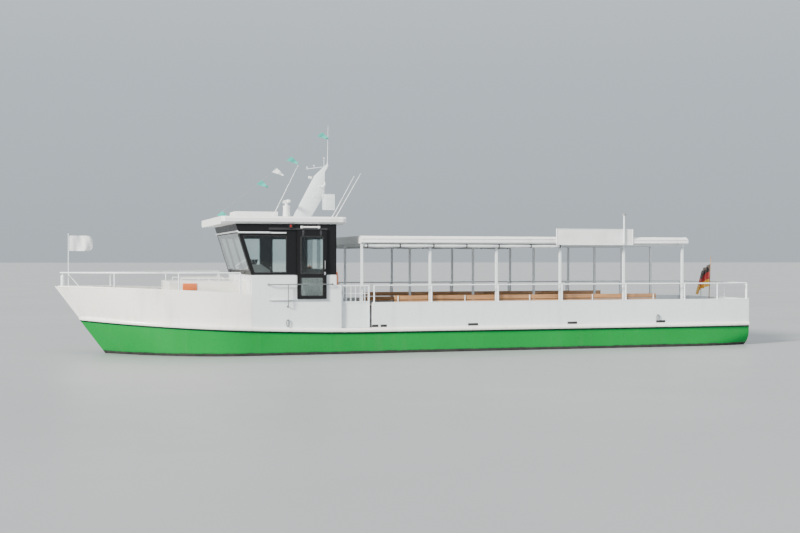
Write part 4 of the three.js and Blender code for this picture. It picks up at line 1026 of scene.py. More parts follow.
def make_deck_gear():
    shape = Shape()
    for side in SIDES.values():
        bollard(shape, 8.45, side * 0.5, FOREDECK_Z)
        bollard(shape, -9.45, side * 1.55, DECK_Z)
    piece("bollards", shape, rail_grey)
    shape = Shape()
    y = TRUNK_HALF + 0.0006
    shape.box((6.34, y, 1.73), (6.72, y + 0.012, 1.92), 0.004)
    for x in (6.37, 6.69):
        for z in (1.76, 1.89):
            shape.lathe((x, y + 0.011, z), [(0, 0.008), (0.003, 0.008), (0.005, 0.004)], 10, OUTBOARD)
    piece("trunk_plate", shape, orange_plate)
    shape = Shape()
    for x in (5.25, 5.9, 6.55):
        shape.block(x, 0, 0.012, TRUNK_HALF - 0.05, TRUNK_TOP + GAP, TRUNK_TOP + 0.006, 0.002)
    rear, middle, front = rail_xs = (5.3, 6.0, 6.75)
    for y in (1.2, -1.2):
        rail = [(rear, 0), (rear, RAIL_LIFT), (front, RAIL_LIFT), (front, 0)]
        shape.tube(rounded([(x, y, TRUNK_TOP + up) for x, up in rail], 0.04), 0.011)
        shape.rod((middle, y, TRUNK_TOP), (middle, y, TRUNK_TOP + 0.07), 0.01)
        for x in rail_xs:
            shape.lathe((x, y, TRUNK_TOP + GAP), [(0, 0.024), (0.005, 0.024), (0.008, 0.014)], 14)
    piece("trunk_trim", shape, sunlit_white_paint)


def make_lid_fittings(name, x, half, deck):
    """Hinge knuckles along the forward edge, clamps along the after edge."""
    top, front, rear = deck + LID_RISE, x + half, x - half
    shape = Shape()
    for y in (-half * 0.6, half * 0.6):
        shape.box((front - 0.1, y - 0.025, top + GAP), (front - 0.005, y + 0.025, top + 0.008), 0.002)
        shape.rod((front - 0.008, y - 0.04, top + 0.006), (front - 0.008, y + 0.04, top + 0.006), 0.009)
        shape.box((rear + 0.02, y - 0.02, top + GAP), (rear + 0.09, y + 0.02, top + 0.01), 0.003)
        shape.lathe((rear + 0.05, y, top + 0.008), [(0, 0.016), (0.02, 0.016), (0.026, 0.01)], 14)
    piece(f"{name}_fittings", shape, steel, body=f"{name}_lid")


def make_hatch_coaming(name, x, half, deck, material, slot):
    """A low coaming inside the lid's skirt, round a thin black sheet that is painted shade for the hatch's
    open mouth.
    """
    shape = Shape()
    outer = half - 0.042
    inner = outer - 0.008
    foot, top = deck + GAP, deck + 0.045
    for side in (-1, 1):
        shape.box((x - outer, side * inner, foot), (x + outer, side * outer, top), 0.002)
        shape.box((x + side * inner, -inner, foot), (x + side * outer, inner, top), 0.002)
    # Painted shade: a black rubber sheet on the deck inside the coaming stands for the dark open mouth of the
    # hatch.
    shape.number = 1
    shape.block(x, 0, inner, inner, foot, deck + 0.004, 0.001)
    piece(f"{name}_coaming", shape, [material, rubber])


def make_side_eyes(name, side):
    """Mooring eyes that stand off the strake on two studs each."""
    shape = Shape()
    wall = side * (HALF_BEAM + 0.0005)
    out = wall + side * 0.03
    for x in (4.03, -6.9):
        shape.tube([(x + 0.045 * c, out, 0.86 + 0.09 * s) for c, s in circle(28)], 0.011, 10, closed=True)
        for z in (0.785, 0.935):
            shape.rod((x, wall, z), (x, out, z), 0.012)
    piece(f"mooring_eyes_{name}", shape, rail_grey)


# Roof and mast
MAST_FOOT_Z, MAST_HALF = 3.7003, 0.035
MAST_OUTLINE = [
    (2.99, MAST_FOOT_Z), (3.51, MAST_FOOT_Z), (2.85, 4.95), (2.48, 5.3), (2.44, 5.24), (2.56, 5.06),
    (2.56, 4.42),
]
YARD_X, YARD_Z, YARD_HALF = 2.72, 4.64, 0.8
YARD_LAMP_Y = YARD_HALF - 0.02
WHIP_FOOT, WHIP_TOP = Vector((2.47, 0, 5.24)), Vector((2.45, 0, 6.4))
BOARD_REAR, BOARD_FRONT, BOARD_BOTTOM, BOARD_TOP, BOARD_Y = 2.29, 2.64, 3.98, 4.42, 0.11
SCANNER_X, SCANNER_Z, SCANNER_HALF, BOLT_CIRCLE = 3.66, 4.2, 0.38, 0.118


def make_mast():
    """A tapered plate with its yard, blank board, upper arm, whip aerial and lamps."""
    shape = Shape()
    shape.prism(MAST_OUTLINE, -MAST_HALF, MAST_HALF, 0.006)
    for y in (-0.13, 0.13):
        shape.box((2.97, y - 0.045, MAST_FOOT_Z), (3.53, y + 0.045, 3.71), 0.003)
    shape.box((2.95, -0.17, MAST_FOOT_Z), (3.55, 0.17, 3.7095), 0.003)
    shape.tube([(YARD_X, y, YARD_Z) for y in (-YARD_HALF, 0, YARD_HALF)], 0.018, 14)
    for y in (-YARD_LAMP_Y, YARD_LAMP_Y):
        shape.lathe((YARD_X, y, YARD_Z + 0.016), [(0, 0.03), (0.014, 0.03), (0.018, 0.02)], 16)
    for y in (-0.55, 0.55):
        shape.rod((YARD_X, y, YARD_Z), (2.9, y * 0.06, 4.35), 0.008)
        shape.torus((YARD_X, y, YARD_Z - 0.026), AHEAD, 0.012, 0.003, 6, 12)
    for z in (BOARD_TOP - 0.04, BOARD_BOTTOM + 0.12):
        shape.rod((2.6, 0, z), (2.6, BOARD_Y + 0.002, z), 0.013)
    shape.rod((2.6, 0, BOARD_BOTTOM + 0.1), (2.6, 0, BOARD_TOP + 0.08), 0.018)
    shape.rod((2.5, 0, 5.22), (3.09, 0, 5.14), 0.009)
    face = BOARD_Y + 0.012
    shape.box((BOARD_REAR, BOARD_Y, BOARD_BOTTOM), (BOARD_FRONT, face, BOARD_TOP), 0.003)
    rim = [(BOARD_REAR, face, BOARD_BOTTOM), (BOARD_FRONT, face, BOARD_BOTTOM)]
    rim += [(BOARD_FRONT, face, BOARD_TOP), (BOARD_REAR, face, BOARD_TOP)]
    shape.gasket(rim, 0.008, 0.015)
    shape.number = 1
    whip = [WHIP_FOOT + Vector((0, 0, 0.02)), WHIP_FOOT.lerp(WHIP_TOP, 0.5), WHIP_TOP]
    shape.tube(whip, [0.009, 0.006, 0.0035], 10)
    shape.lathe(WHIP_FOOT - Vector((0, 0, 0.01)), [(0, 0.02), (0.06, 0.02), (0.09, 0.01)], 14)
    for x, z, tall in ((2.57, 5.21, 0.24), (2.86, 5.17, 0.06), (3.06, 5.14, 0.04)):
        shape.rod((x, 0, z), (x, 0, z + tall), 0.006)
        shape.ball((x, 0, z + tall + 0.012), 0.024, 0.7)
    shape.number = 2
    for y in (-YARD_LAMP_Y, YARD_LAMP_Y):
        shape.lathe((YARD_X, y, YARD_Z + 0.034), [(0, 0.022), (0.05, 0.022), (0.058, 0.012)], 18)
    masthead = [(-0.06, 0.035), (0.0, 0.04), (0.03, 0.04), (0.045, 0.03)]
    shape.lathe((2.98, 0, 4.9), masthead, 18, (1, 0, 0.2))
    piece("mast_plate", shape, [white_paint, white_plastic, clear_lens], "mast")


def make_scanner():
    """A cast pedestal with bolts round its foot, and the bar that turns on it."""
    x, z, half = SCANNER_X, SCANNER_Z, SCANNER_HALF
    shape = Shape()
    cast = [(0, 0.13), (0.012, 0.13), (0.02, 0.11), (0.3, 0.092), (0.36, 0.1), (0.38, 0.1), (0.389, 0.085)]
    shape.lathe((x, 0, ROOF_TOP + 0.0003), cast, 28)
    for c, s in circle(6):
        at = (x + BOLT_CIRCLE * c, BOLT_CIRCLE * s, ROOF_TOP + 0.01)
        shape.lathe(at, [(0, 0.008), (0.008, 0.008), (0.009, 0.004)], 6)
    piece("radar_pedestal_cast", shape, white_plastic, "radar_pedestal")
    shape = Shape()
    shape.lathe((x, 0, 4.0903), [(0, 0.044), (0.05, 0.045), (0.07, 0.045)], 20)
    section = [(-0.055, -0.02), (-0.04, -0.04), (0.03, -0.044), (0.052, -0.02), (0.055, 0.018), (0.03, 0.042)]
    section += [(-0.03, 0.044), (-0.053, 0.024)]
    ends = [(half, 0.55), (half - 0.012, 0.86), (half - 0.04, 1.0), (0.1, 1.0)]
    stations = [(-y, size) for y, size in ends] + ends[::-1]
    shape.rings([[(x + u * size, y, z + w * size) for u, w in section] for y, size in stations])
    shape.number = 1
    shape.tube([(x + 0.0535, y, z - 0.001) for y in (-half + 0.05, half - 0.05)], 0.0035, 6)
    looks = [white_plastic, grey_plastic]
    piece("radar_scanner_bar", shape, looks, "radar_scanner", "radar")


def make_aerials():
    shape = Shape()
    shape.box((4.14, 0.57, ROOF_TOP + 0.0003), (4.2, 0.63, ROOF_TOP + 0.035), 0.006)
    socket = [(0, 0.018), (0.08, 0.016), (0.12, 0.0095)]
    shape.lathe((4.17, 0.6, ROOF_TOP + 0.02), socket, 14, (-0.44, 0, 0.9))
    start, end = Vector((4.17, 0.6, ROOF_TOP + 0.025)), Vector((3.44, 0.6, 5.2))
    shape.tube([start, start.lerp(end, 0.5), end], [0.009, 0.007, 0.0045], 10)
    piece("aerial_fore_whip", shape, white_plastic, "aerial_fore")
    shape = Shape()
    shape.box((2.39, 0.09, 3.63), (2.4397, 0.63, 3.68), 0.005)
    for y, x_top, z_top in ((0.12, 1.71, 4.95), (0.6, 1.64, 4.99)):
        start, end = Vector((2.415, y, 3.655)), Vector((x_top, y, z_top))
        along = (end - start).normalized()
        shape.lathe(start - along * 0.01, [(0, 0.02), (0.16, 0.019), (0.2, 0.0125)], 14, along)
        shape.tube([start, start.lerp(end, 0.5), end], [0.012, 0.0095, 0.006])
        shape.ball(end, 0.009, 1.0, 10)
    piece("aerials_aft_whips", shape, white_plastic, "aerials_aft")


# Pennant stay: a taut wire from the roof's front edge to the tip of the mast's whip
STAY_LOW, STAY_HIGH = Vector((5.70, 0, 3.735)), Vector((2.452, 0, 6.34))
STAY = (STAY_HIGH - STAY_LOW).normalized()
PENNANTS = {0.045: teal_cloth, 0.385: teal_cloth, 0.52: flag_cloth, 0.65: teal_cloth, 0.925: teal_cloth}
PENNANT_HOIST, PENNANT_FLY = 0.19, 0.30


def pennant_place(number, share):
    start = STAY_LOW.lerp(STAY_HIGH, share)
    trail = Vector((-0.86, 0, -0.42)).normalized()

    def place_at(u, v):
        hoist = start + STAY * (PENNANT_HOIST * (0.5 - (v - 0.5) * (1 - 0.82 * u) - 0.5))
        wave = 0.02 * u * math.sin(8 * u + 2.1 * number) + 0.0035
        return hoist + trail * (PENNANT_FLY * u * 0.96) + Vector((0, wave, -0.02 * u * u))

    return place_at


def make_pennants():
    shape = Shape()
    middle = STAY_LOW.lerp(STAY_HIGH, 0.5) - Vector((0, 0, 0.012))
    shape.tube([STAY_LOW, middle, STAY_HIGH], 0.003, 6)
    shape.box((5.66, -0.02, ROOF_TOP - 0.001), (5.74, 0.02, ROOF_TOP + 0.008), 0.002)
    shape.torus((5.7, 0, ROOF_TOP + 0.022), OUTBOARD, 0.016, 0.004, 8, 16)
    piece("pennant_stay", shape, steel)
    for number, (share, cloth) in enumerate(PENNANTS.items()):
        place_at = pennant_place(number, share)
        made = cloth_sheet(f"pennant_{number + 1}", 6, 16, place_at, cloth, "flag_cloth", thick=0.0012)


# Canopy
SIGN_REAR, SIGN_FRONT, SIGN_BOTTOM, SIGN_TOP = -6.09, -3.71, 2.98, 3.42
BATTEN_STEP, FOOT_BOLT = 0.985, 0.045


def make_canopy_trim():
    """Battens on the roof, ridges on its edges, a rim and struts at the sign, post feet, and lamps."""
    shape = Shape()
    base = CANOPY_BOTTOM
    for step in range(11):
        shape.block(1.96 - step * BATTEN_STEP, 0, 0.012, 2.02, base + 0.199, base + 0.205, 0.002)
    for side in SIDES.values():
        inner, outer = side * (HALF_BEAM + 0.002), side * (HALF_BEAM + 0.01)
        for x0, x1 in ((CANOPY_REAR + 0.01, -6.12), (-3.68, CANOPY_FRONT - 0.01)):
            for low, high in ((0.028, 0.055), (0.118, 0.135)):
                shape.box((x0, inner, base + low), (x1, outer, base + high), 0.002)
    rim = [(SIGN_REAR, SIGN_BOTTOM), (SIGN_FRONT, SIGN_BOTTOM), (SIGN_FRONT, SIGN_TOP), (SIGN_REAR, SIGN_TOP)]
    shape.gasket([(x, HALF_BEAM + 0.0205, z) for x, z in rim], 0.009, 0.012)
    for x in (-4.9, -4.3, -5.5):
        low, high = (x - 0.02, HALF_BEAM - 0.115, base + 0.2005), (x + 0.02, HALF_BEAM - 0.0005, base + 0.208)
        shape.box(low, high, 0.002)
        shape.tube([(x, HALF_BEAM - 0.1, 3.205), (x, HALF_BEAM - 0.006, 3.40)], 0.011, 10)
    piece("canopy_edge_trim", shape, roof_paint)
    shape = Shape()
    side_feet = [(x, y) for x in POST_XS[1:] for y in (-POST_Y, POST_Y)]
    for x, y in [(x, 0) for x in POST_XS] + side_feet:
        shape.block(x, y, 0.06, 0.06, DECK_Z + GAP, DECK_Z + 0.01, 0.003)
        for bolt_x in (x - FOOT_BOLT, x + FOOT_BOLT):
            for bolt_y in (y - FOOT_BOLT, y + FOOT_BOLT):
                shape.lathe((bolt_x, bolt_y, DECK_Z + 0.009), [(0, 0.007), (0.007, 0.007), (0.008, 0.004)], 6)
    piece("post_feet", shape, steel)
    shape = Shape()
    for x in (0.9, -1.0, -2.95, -4.9, -6.8):
        for y in (-1.0, 1.0):
            shape.block(x, y, 0.3, 0.05, base - 0.035, base - GAP, 0.01)
    piece("canopy_lamps", shape, clear_lens)


# Side curtains: tarpaulin rolled up under the canopy's edge, held by straps, sagging between them
CURTAIN_FRONT, CURTAIN_REAR = 1.88, -3.9
CURTAIN_Y, CURTAIN_Z, CURTAIN_RADIUS, CURTAIN_TURNS = 2.065, 2.9357, 0.064, 3.6
STRAP_STEP = 0.963


def make_curtain(name, side):
    length = CURTAIN_FRONT - CURTAIN_REAR

    def middle(u, v):
        """v winds the cloth from its outer edge inwards, u runs along the roll."""
        x = CURTAIN_FRONT - length * u
        between = abs(math.sin(math.pi * (CURTAIN_FRONT - x) / STRAP_STEP))
        angle = math.pi * 0.5 + 2 * math.pi * CURTAIN_TURNS * v
        ripple = 0.0016 * math.sin(23 * x + 3 * angle) + 0.0012 * math.sin(61 * x - 2 * angle)
        radius = (CURTAIN_RADIUS - 0.003) * (0.75 + 0.25 * between) * (1 - 0.78 * v) + ripple * (1 - v)
        z = CURTAIN_Z - 0.004 * between + radius * math.sin(angle) * 0.97
        return x, side * (CURTAIN_Y + radius * math.cos(angle)), z

    place = (middle, curtain_cloth, "curtain_cloth", f"curtain_{name}")
    roll = cloth_sheet(f"curtain_roll_{name}", 72, 150, *place, thick=0.0016)
    shape = Shape()
    for step in range(7):
        back = 0.02 + step * STRAP_STEP if step else 0.06
        x = max(CURTAIN_FRONT - back, CURTAIN_REAR + 0.05)
        rings = []
        for along, grow in ((-0.014, 0.94), (-0.014, 1.03), (0.014, 1.03), (0.014, 0.94)):
            size = CURTAIN_RADIUS * 0.79 * grow
            ring = [(side * (CURTAIN_Y + size * c), CURTAIN_Z + size * s) for c, s in circle(24)]
            rings.append([(x + along, y, z) for y, z in ring])
        shape.rings(rings, closed=True)
    piece(f"curtain_straps_{name}", shape, black_plastic)


def make_lamp_pole():
    x, y, foot, top = -5.8, 2.2, 3.04, 3.88
    shape = Shape()
    shape.tube([(x, 2.171, foot), (x, y, foot)], 0.02, 14)
    shape.tube([(x, y, z) for z in (foot - 0.025, foot + 0.4, top - 0.06)], [0.025, 0.024, 0.022], 16)
    for z in (foot - 0.012, foot + 0.2):
        shape.lathe((x, y, z), [(0, 0.03), (0.02, 0.03)], 16)
    shape.number = 1
    hood = [(0, 0.03), (0.006, 0.052), (0.05, 0.058), (0.056, 0.052), (0.06, 0.03)]
    shape.lathe((x, y, top - 0.06), hood, 20)
    shape.number = 2
    shape.lathe((x, y, top - 0.055), [(-0.012, 0.02), (-0.008, 0.045), (0.002, 0.046)], 20)
    piece("lamp_pole_tube", shape, [white_paint, grey_plastic, clear_lens], "light_pole")


# Benches: varnished slats on painted steel frames
BENCH_INNER, BENCH_SEAT, BENCH_BACK, BENCH_TOP = 1.45, 1.15, 1.88, 1.56
BENCH_JOINTS = [-7.0, -4.95, -3.0, -1.05, 1.0]
BENCH_LEG_XS = [-6.9, -4.95, -3.0, -1.05, 0.9]
BENCH_ROWS = [BENCH_INNER + row * 0.14 for row in range(3)]
SLAT_WIDE, SLAT_THICK, BACK_THICK = 0.12, 0.04, 0.025


def make_bench(name, side):
    shape = Shape()
    for start, end in zip(BENCH_JOINTS, BENCH_JOINTS[1:]):
        x0, x1 = start + 0.002, end - 0.002
        for y in BENCH_ROWS:
            low, high = (x0, side * y, BENCH_SEAT - SLAT_THICK), (x1, side * (y + SLAT_WIDE), BENCH_SEAT)
            shape.box(low, high, 0.008, 3)
        for z in (1.3, 1.44):
            low, high = (x0, side * (BENCH_BACK - BACK_THICK), z), (x1, side * BENCH_BACK, z + SLAT_WIDE)
            shape.box(low, high, 0.008, 3)
    shape.number = 1
    floor = DECK_Z + 0.0003
    bars = [
        (BENCH_INNER + 0.03, BENCH_BACK + 0.01, BENCH_SEAT - 0.1, BENCH_SEAT - 0.041),
        (BENCH_BACK + 0.0005, BENCH_BACK + 0.02, floor, BENCH_TOP),
        (BENCH_BACK - 0.02, BENCH_BACK + 0.02, floor, BENCH_SEAT - 0.05),
        (BENCH_INNER + 0.04, BENCH_INNER + 0.1, floor, BENCH_SEAT - 0.045),
    ]
    for x in BENCH_LEG_XS:
        for y0, y1, low, high in bars:
            shape.box((x - 0.015, side * y0, low), (x + 0.015, side * y1, high), 0.003)
        for y in BENCH_ROWS:
            for screw_x in (x - 0.02, x + 0.02):
                at = (screw_x, side * (y + 0.06), BENCH_SEAT - 0.001)
                shape.lathe(at, [(0, 0.007), (0.001, 0.007), (0.0025, 0.004)], 10)
    piece(f"bench_slats_{name}", shape, [wood, white_paint], f"bench_{name}")


def make_gate_fittings(name, side):
    """A latch and a pull handle on the boarding gate, and the freeing ports in the bulwark beside it."""
    shape = Shape()
    outer, inner = side * 2.0805, side * 2.04
    shape.box((2.5, outer, 1.6), (2.536, outer + side * 0.014, 1.74), 0.003)
    spindle = [(0, 0.012), (0.014, 0.012), (0.018, 0.008)]
    shape.lathe((2.518, outer + side * 0.012, 1.67), spindle, 14, (0, side, 0))
    lever_y = outer + side * 0.026
    shape.rod((2.518, lever_y, 1.67), (2.44, lever_y, 1.655), 0.007)
    pull_handle(shape, 1.9, inner, inner - side * 0.035, 1.5, 1.7)
    piece(f"gate_latch_{name}", shape, steel, body=f"boarding_gate_{name}")
    shape = Shape()
    for x, half in ((1.62, 0.09), (1.38, 0.09), (-1.2, 0.15), (-4.2, 0.15), (-7.0, 0.15)):
        y0, y1 = side * (HALF_BEAM - 0.004), side * (HALF_BEAM + 0.003)
        shape.box((x - half, y0, 0.715), (x + half, y1, 0.785), 0.002)
    piece(f"freeing_ports_{name}", shape, rubber)


# Inside the wheelhouse
SCREENS = [(0.45, 0.3), (-0.05, 0.34), (-0.55, 0.26)]
CONSOLE_TOP = 2.4205
HELM = Vector((4.2, 0.45, 2.15))
HELM_RADIUS = 0.19


def make_console_fittings():
    shape = Shape()
    cases = [(4.62, CONSOLE_TOP), (4.68, CONSOLE_TOP), (4.63, 2.56), (4.57, 2.56)]
    for y, wide in SCREENS:
        shape.prism(cases, y - wide / 2, y + wide / 2, 0.006)
    for y in (0.12, 0.2):
        shape.box((4.36, y - 0.03, 2.27), (4.47, y + 0.03, 2.33), 0.006)
        shape.rod((4.42, y, 2.31), (4.38, y, 2.46), 0.007)
        shape.ball((4.38, y, 2.465), 0.018)
    shape.lathe((4.72, 0.75, CONSOLE_TOP), [(0, 0.07), (0.03, 0.07), (0.05, 0.05), (0.08, 0.02)], 20)
    for index in range(8):
        shape.box((4.44, -0.82 + index * 0.05, 2.335), (4.46, -0.80 + index * 0.05, 2.35), 0.003)
    piece("console_controls", shape, black_plastic)
    shape = Shape()
    panes = [(4.6015, 2.44), (4.6035, 2.44), (4.5735, 2.545), (4.5715, 2.545)]
    for y, wide in SCREENS:
        shape.prism(panes, y - wide / 2 + 0.02, y + wide / 2 - 0.02)
    piece("console_screens", shape, screen_glass)
    shape = Shape()
    shape.torus(HELM, AHEAD, HELM_RADIUS, 0.0138, 14, 48)
    shape.torus(HELM, AHEAD, 0.045, 0.01, 10, 24)
    for turn in range(3):
        angle = math.pi / 2 + turn * 2 * math.pi / 3
        end = HELM + Vector((0, HELM_RADIUS * math.cos(angle), HELM_RADIUS * math.sin(angle)))
        shape.tube([HELM, end], 0.009, 10, flatten=0.6)
    hub = [(0, 0.028), (0.006, 0.034), (0.03, 0.034), (0.04, 0.024), (0.1195, 0.024)]
    shape.lathe((4.18, 0.45, 2.15), hub, 20, AHEAD)
    piece("helm_wheel_rim", shape, black_plastic, "helm_wheel", "helm")


SEAT_X, SEAT_Y, SEAT_Z, SEAT_HALF = 3.65, 0.45, 1.95, 0.24
CUSHION_STEPS, CUSHION_PULL = 14, 0.045


def cushion(name, low, high):
    """A stuffed pad: crowned faces with two pressed channels, and sides that pull in between the corners."""
    size = Vector(high) - Vector(low)
    centre = (Vector(low) + Vector(high)) / 2
    thin = min(range(3), key=lambda axis: size[axis])
    u_axis, v_axis = [axis for axis in range(3) if axis != thin]
    spans = [2 * step / CUSHION_STEPS - 1 for step in range(CUSHION_STEPS + 1)]
    points = []
    for face in (-1, 1):
        for u in spans:
            for v in spans:
                point = centre.copy()
                point[u_axis] += size[u_axis] / 2 * u * (1 - CUSHION_PULL * (1 - v ** 4) * abs(u) ** 3)
                point[v_axis] += size[v_axis] / 2 * v * (1 - CUSHION_PULL * (1 - u ** 4) * abs(v) ** 3)
                dome = ((1 - u ** 4) * (1 - v ** 4)) ** 0.45
                channel = 1 - 0.16 * math.exp(-((abs(v) - 0.36) / 0.05) ** 2)
                point[thin] += face * size[thin] / 2 * dome * channel
                points.append(point)
    shape = Shape()
    shape.faces(points, both_faces(CUSHION_STEPS, CUSHION_STEPS, (CUSHION_STEPS + 1) ** 2))
    bmesh.ops.remove_doubles(shape.mesh, verts=shape.mesh.verts, dist=0.0004)
    made = piece(name, shape, leather, body="helm_chair", angle=60)
    softer = made.modifiers.new("smooth", "SUBSURF")
    softer.levels = softer.render_levels = 1
    return made


def make_seat():
    x, y, z, half = SEAT_X, SEAT_Y, SEAT_Z, SEAT_HALF
    rear = x - half
    shape = Shape()
    foot = [(0, 0.2), (0.01, 0.2), (0.02, 0.185), (0.04, 0.08), (0.07, 0.05)]
    shape.lathe((x, y, HOUSE_FLOOR + 0.0003), foot, 32)
    column = [(0, 0.044), (0.25, 0.044), (0.255, 0.032), (0.4485, 0.032)]
    shape.lathe((x, y, HOUSE_FLOOR + 0.05), column)
    shape.number = 1
    shape.lathe((x, y, HOUSE_FLOOR + 0.18), [(0, 0.047), (0.03, 0.05), (0.05, 0.046)])
    piece("seat_pedestal", shape, [steel, black_plastic], "seat_base")
    reach = half - 0.004
    base = cushion("seat_cushion", (x - reach, y - reach, z + 0.022), (x + reach, y + reach, z + 0.1))
    reach = half - 0.024
    cushion("seat_back", (rear + 0.004, y - reach, z + 0.125), (rear + 0.086, y + reach, z + 0.695))
    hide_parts("helm_seat")
    shape = Shape()
    shape.block(x, y, half - 0.02, half - 0.02, z + 0.0005, z + 0.021, 0.006)
    for at in (y - 0.12, y + 0.12):
        bar = [(x - 0.1, at, z + 0.01), (rear + 0.006, at, z + 0.012), (rear + 0.006, at, z + 0.4)]
        shape.tube(rounded(bar, 0.05), 0.006, 8)
    for at in (y - half + 0.012, y + half - 0.012):
        arm = [(rear + 0.03, at, z + 0.24), (x + 0.1, at, z + 0.24), (x + 0.1, at, z + 0.03)]
        shape.tube(rounded(arm, 0.04), 0.011, 10)
    piece("seat_frame", shape, black_plastic, body="helm_chair")


# Screws, shafts and rudders, in the solids' places
SCREW_X, SCREW_RADIUS, SCREW_PITCH, HUB_RADIUS, HUB_HALF, BLADES = -8.8, 0.23, 0.42, 0.048, 0.06, 4
BLADE_HALF_CHORDS = [
    (0.18, 0.036), (0.3, 0.05), (0.45, 0.063), (0.6, 0.071), (0.75, 0.072), (0.87, 0.062), (0.95, 0.042),
    (0.996, 0.012),
]
SHAFT_FRONT_X, BRACKET_X = -7.3, -8.61
BRACKET_FOIL = [
    (0.06, 0), (0.045, 0.008), (0.0, 0.012), (-0.045, 0.007), (-0.06, 0), (-0.045, -0.007), (0.0, -0.012),
    (0.045, -0.008),
]
RUDDER_TOP, RUDDER_BOTTOM, RUDDER_FRONT, RUDDER_CHORD, RUDDER_HALF = -0.34, -0.85, 0.11, 0.41, 0.03


def blade_section(share, half_chord, side, turn):
    """A lens-shaped ring at one share of the radius, turned to the pitch there."""
    radius = share * SCREW_RADIUS
    out = Vector((0, math.cos(turn), math.sin(turn)))
    around = Vector((0, -math.sin(turn), math.cos(turn)))
    pitch = math.atan(SCREW_PITCH / (2 * math.pi * radius))
    chord = Vector((math.sin(pitch), 0, 0)) - around * math.cos(pitch)
    across = Vector((math.cos(pitch), 0, 0)) + around * math.sin(pitch)
    thick = 0.008 * (1 - radius / SCREW_RADIUS) + 0.0022
    skew = 0.02 * (radius / SCREW_RADIUS) ** 2
    ring = [out * radius + chord * (half_chord * c - skew) + across * (thick * s) for c, s in circle(14)]
    return [(SCREW_X + p.x, side * (SHAFT_Y + p.y), SHAFT_Z + p.z) for p in ring]


def make_screw(name, side):
    shape = Shape()
    for blade in range(BLADES):
        turn = blade * 2 * math.pi / BLADES
        shape.rings([blade_section(share, half_chord, side, turn) for share, half_chord in BLADE_HALF_CHORDS])
    hub = [(-HUB_HALF, 0.03), (-HUB_HALF + 0.008, 0.042), (0, HUB_RADIUS), (HUB_HALF - 0.01, 0.047)]
    shape.lathe((SCREW_X, side * SHAFT_Y, SHAFT_Z), [*hub, (HUB_HALF, 0.042)], 28, AHEAD)
    piece(f"screw_{name}", shape, bronze, f"propeller_{name}", f"screw_{name}", 50)


def make_shaft(name, side):
    shape = Shape()
    y = side * SHAFT_Y
    shape.tube([(x, y, SHAFT_Z) for x in (SHAFT_FRONT_X, -8, SCREW_X + HUB_HALF + 0.0003)], 0.03, 24)
    shape.number = 1
    bearing = [(-0.08, 0.045), (-0.07, 0.055), (0.07, 0.055), (0.08, 0.045)]
    shape.lathe((BRACKET_X, y, SHAFT_Z), bearing, 28, AHEAD)
    shape.lathe((SHAFT_FRONT_X + 0.06, y, SHAFT_Z), [(-0.13, 0.036), (-0.1, 0.05), (0.06, 0.06)], 24, AHEAD)
    heights = (SHAFT_Z + 0.04, bottom_z(BRACKET_X) + 0.012)
    shape.rings([[(BRACKET_X + u, y + v, z) for u, v in BRACKET_FOIL] for z in heights])
    piece(f"shaft_line_{name}", shape, [steel, antifouling], f"shaft_{name}")


def make_rudder(name, side):
    shape = Shape()
    profile = []
    for c, s in circle(24):
        run = (1 - c) / 2
        thick = RUDDER_HALF * 1.75 * math.sqrt(run) * (1 - run)
        profile.append((RUDDER_FRONT - RUDDER_CHORD * run, math.copysign(thick, s)))
    y, rings = side * SHAFT_Y, []
    low, high = RUDDER_BOTTOM, RUDDER_TOP
    for z, size in ((low, 0.9), (low + 0.008, 1.0), (high - 0.008, 1.0), (high, 0.9)):
        rings.append([(RUDDER_X + u, y + v * size, z) for u, v in profile])
    shape.rings(rings)
    shape.number = 1
    shape.lathe((RUDDER_X, y, RUDDER_TOP - 0.02), [(0, 0.027), (0.0597, 0.027)])
    looks = [antifouling, steel]
    piece(f"rudder_foil_{name}", shape, looks, f"rudder_{name}", f"rudder_blade_{name}", 45)


HATCHES = [
    ("fore_hatch", 7.9, 0.32, FOREDECK_Z, sunlit_white_paint, "white_paint"),
    ("aft_hatch", -8.95, 0.47, DECK_Z, deck_paint, "deck_grey"),
]


def on_both_sides(*makers):
    for name, side in SIDES.items():
        for make in makers:
            make(name, side)


make_hull()
make_bow_bulwark()
make_stern_bulwark()
on_both_sides(make_side_bulwark, make_rub_rail)
make_deck_gear()
for hatch in HATCHES:
    make_lid_fittings(*hatch[:4])
for hatch in HATCHES:
    make_hatch_coaming(*hatch)
for make_part in (make_bow_rail, make_flags, make_gaskets, make_house_trim, make_wipers, make_lamps):
    make_part()
on_both_sides(make_door_fittings, make_grab_rail, make_lifebuoy, make_side_eyes)
for make_part in (make_mast, make_scanner, make_aerials, make_pennants, make_canopy_trim, make_lamp_pole):
    make_part()
make_console_fittings()
make_seat()
on_both_sides(make_curtain, make_bench, make_gate_fittings)
on_both_sides(make_screw, make_shaft, make_rudder)


# CAD pieces that keep their own shape
KEPT = {
    "sign": (white_plastic, 0.004),
    "trunk": (sunlit_white_paint, 0.012),
    "fore_hatch": (sunlit_white_paint, 0.006),
    "aft_hatch": (deck_paint, 0.006),
    "deckhouse": (white_paint, 0.008),
    "wheelhouse_front": (dark_paint, 0.004),
    "wheelhouse_rear": (dark_paint, 0.004),
    "window_front": (window_glass, 0),
    "window_rear": (window_glass, 0),
    "wheelhouse_roof": (roof_paint, 0.014),
    "console": (grey_plastic, 0.012),
    "canopy_roof": (roof_paint, 0.01),
    "canopy_frame_centre": (white_paint, 0.006),
}
SIDE_KEPT = {
    "wheelhouse_side": (dark_paint, 0.004),
    "window": (window_glass, 0),
    "door": (dark_paint, 0.006),
    "door_glass": (window_glass, 0),
    "canopy_frame": (white_paint, 0.006),
    "gate": (white_paint, 0.004),
}


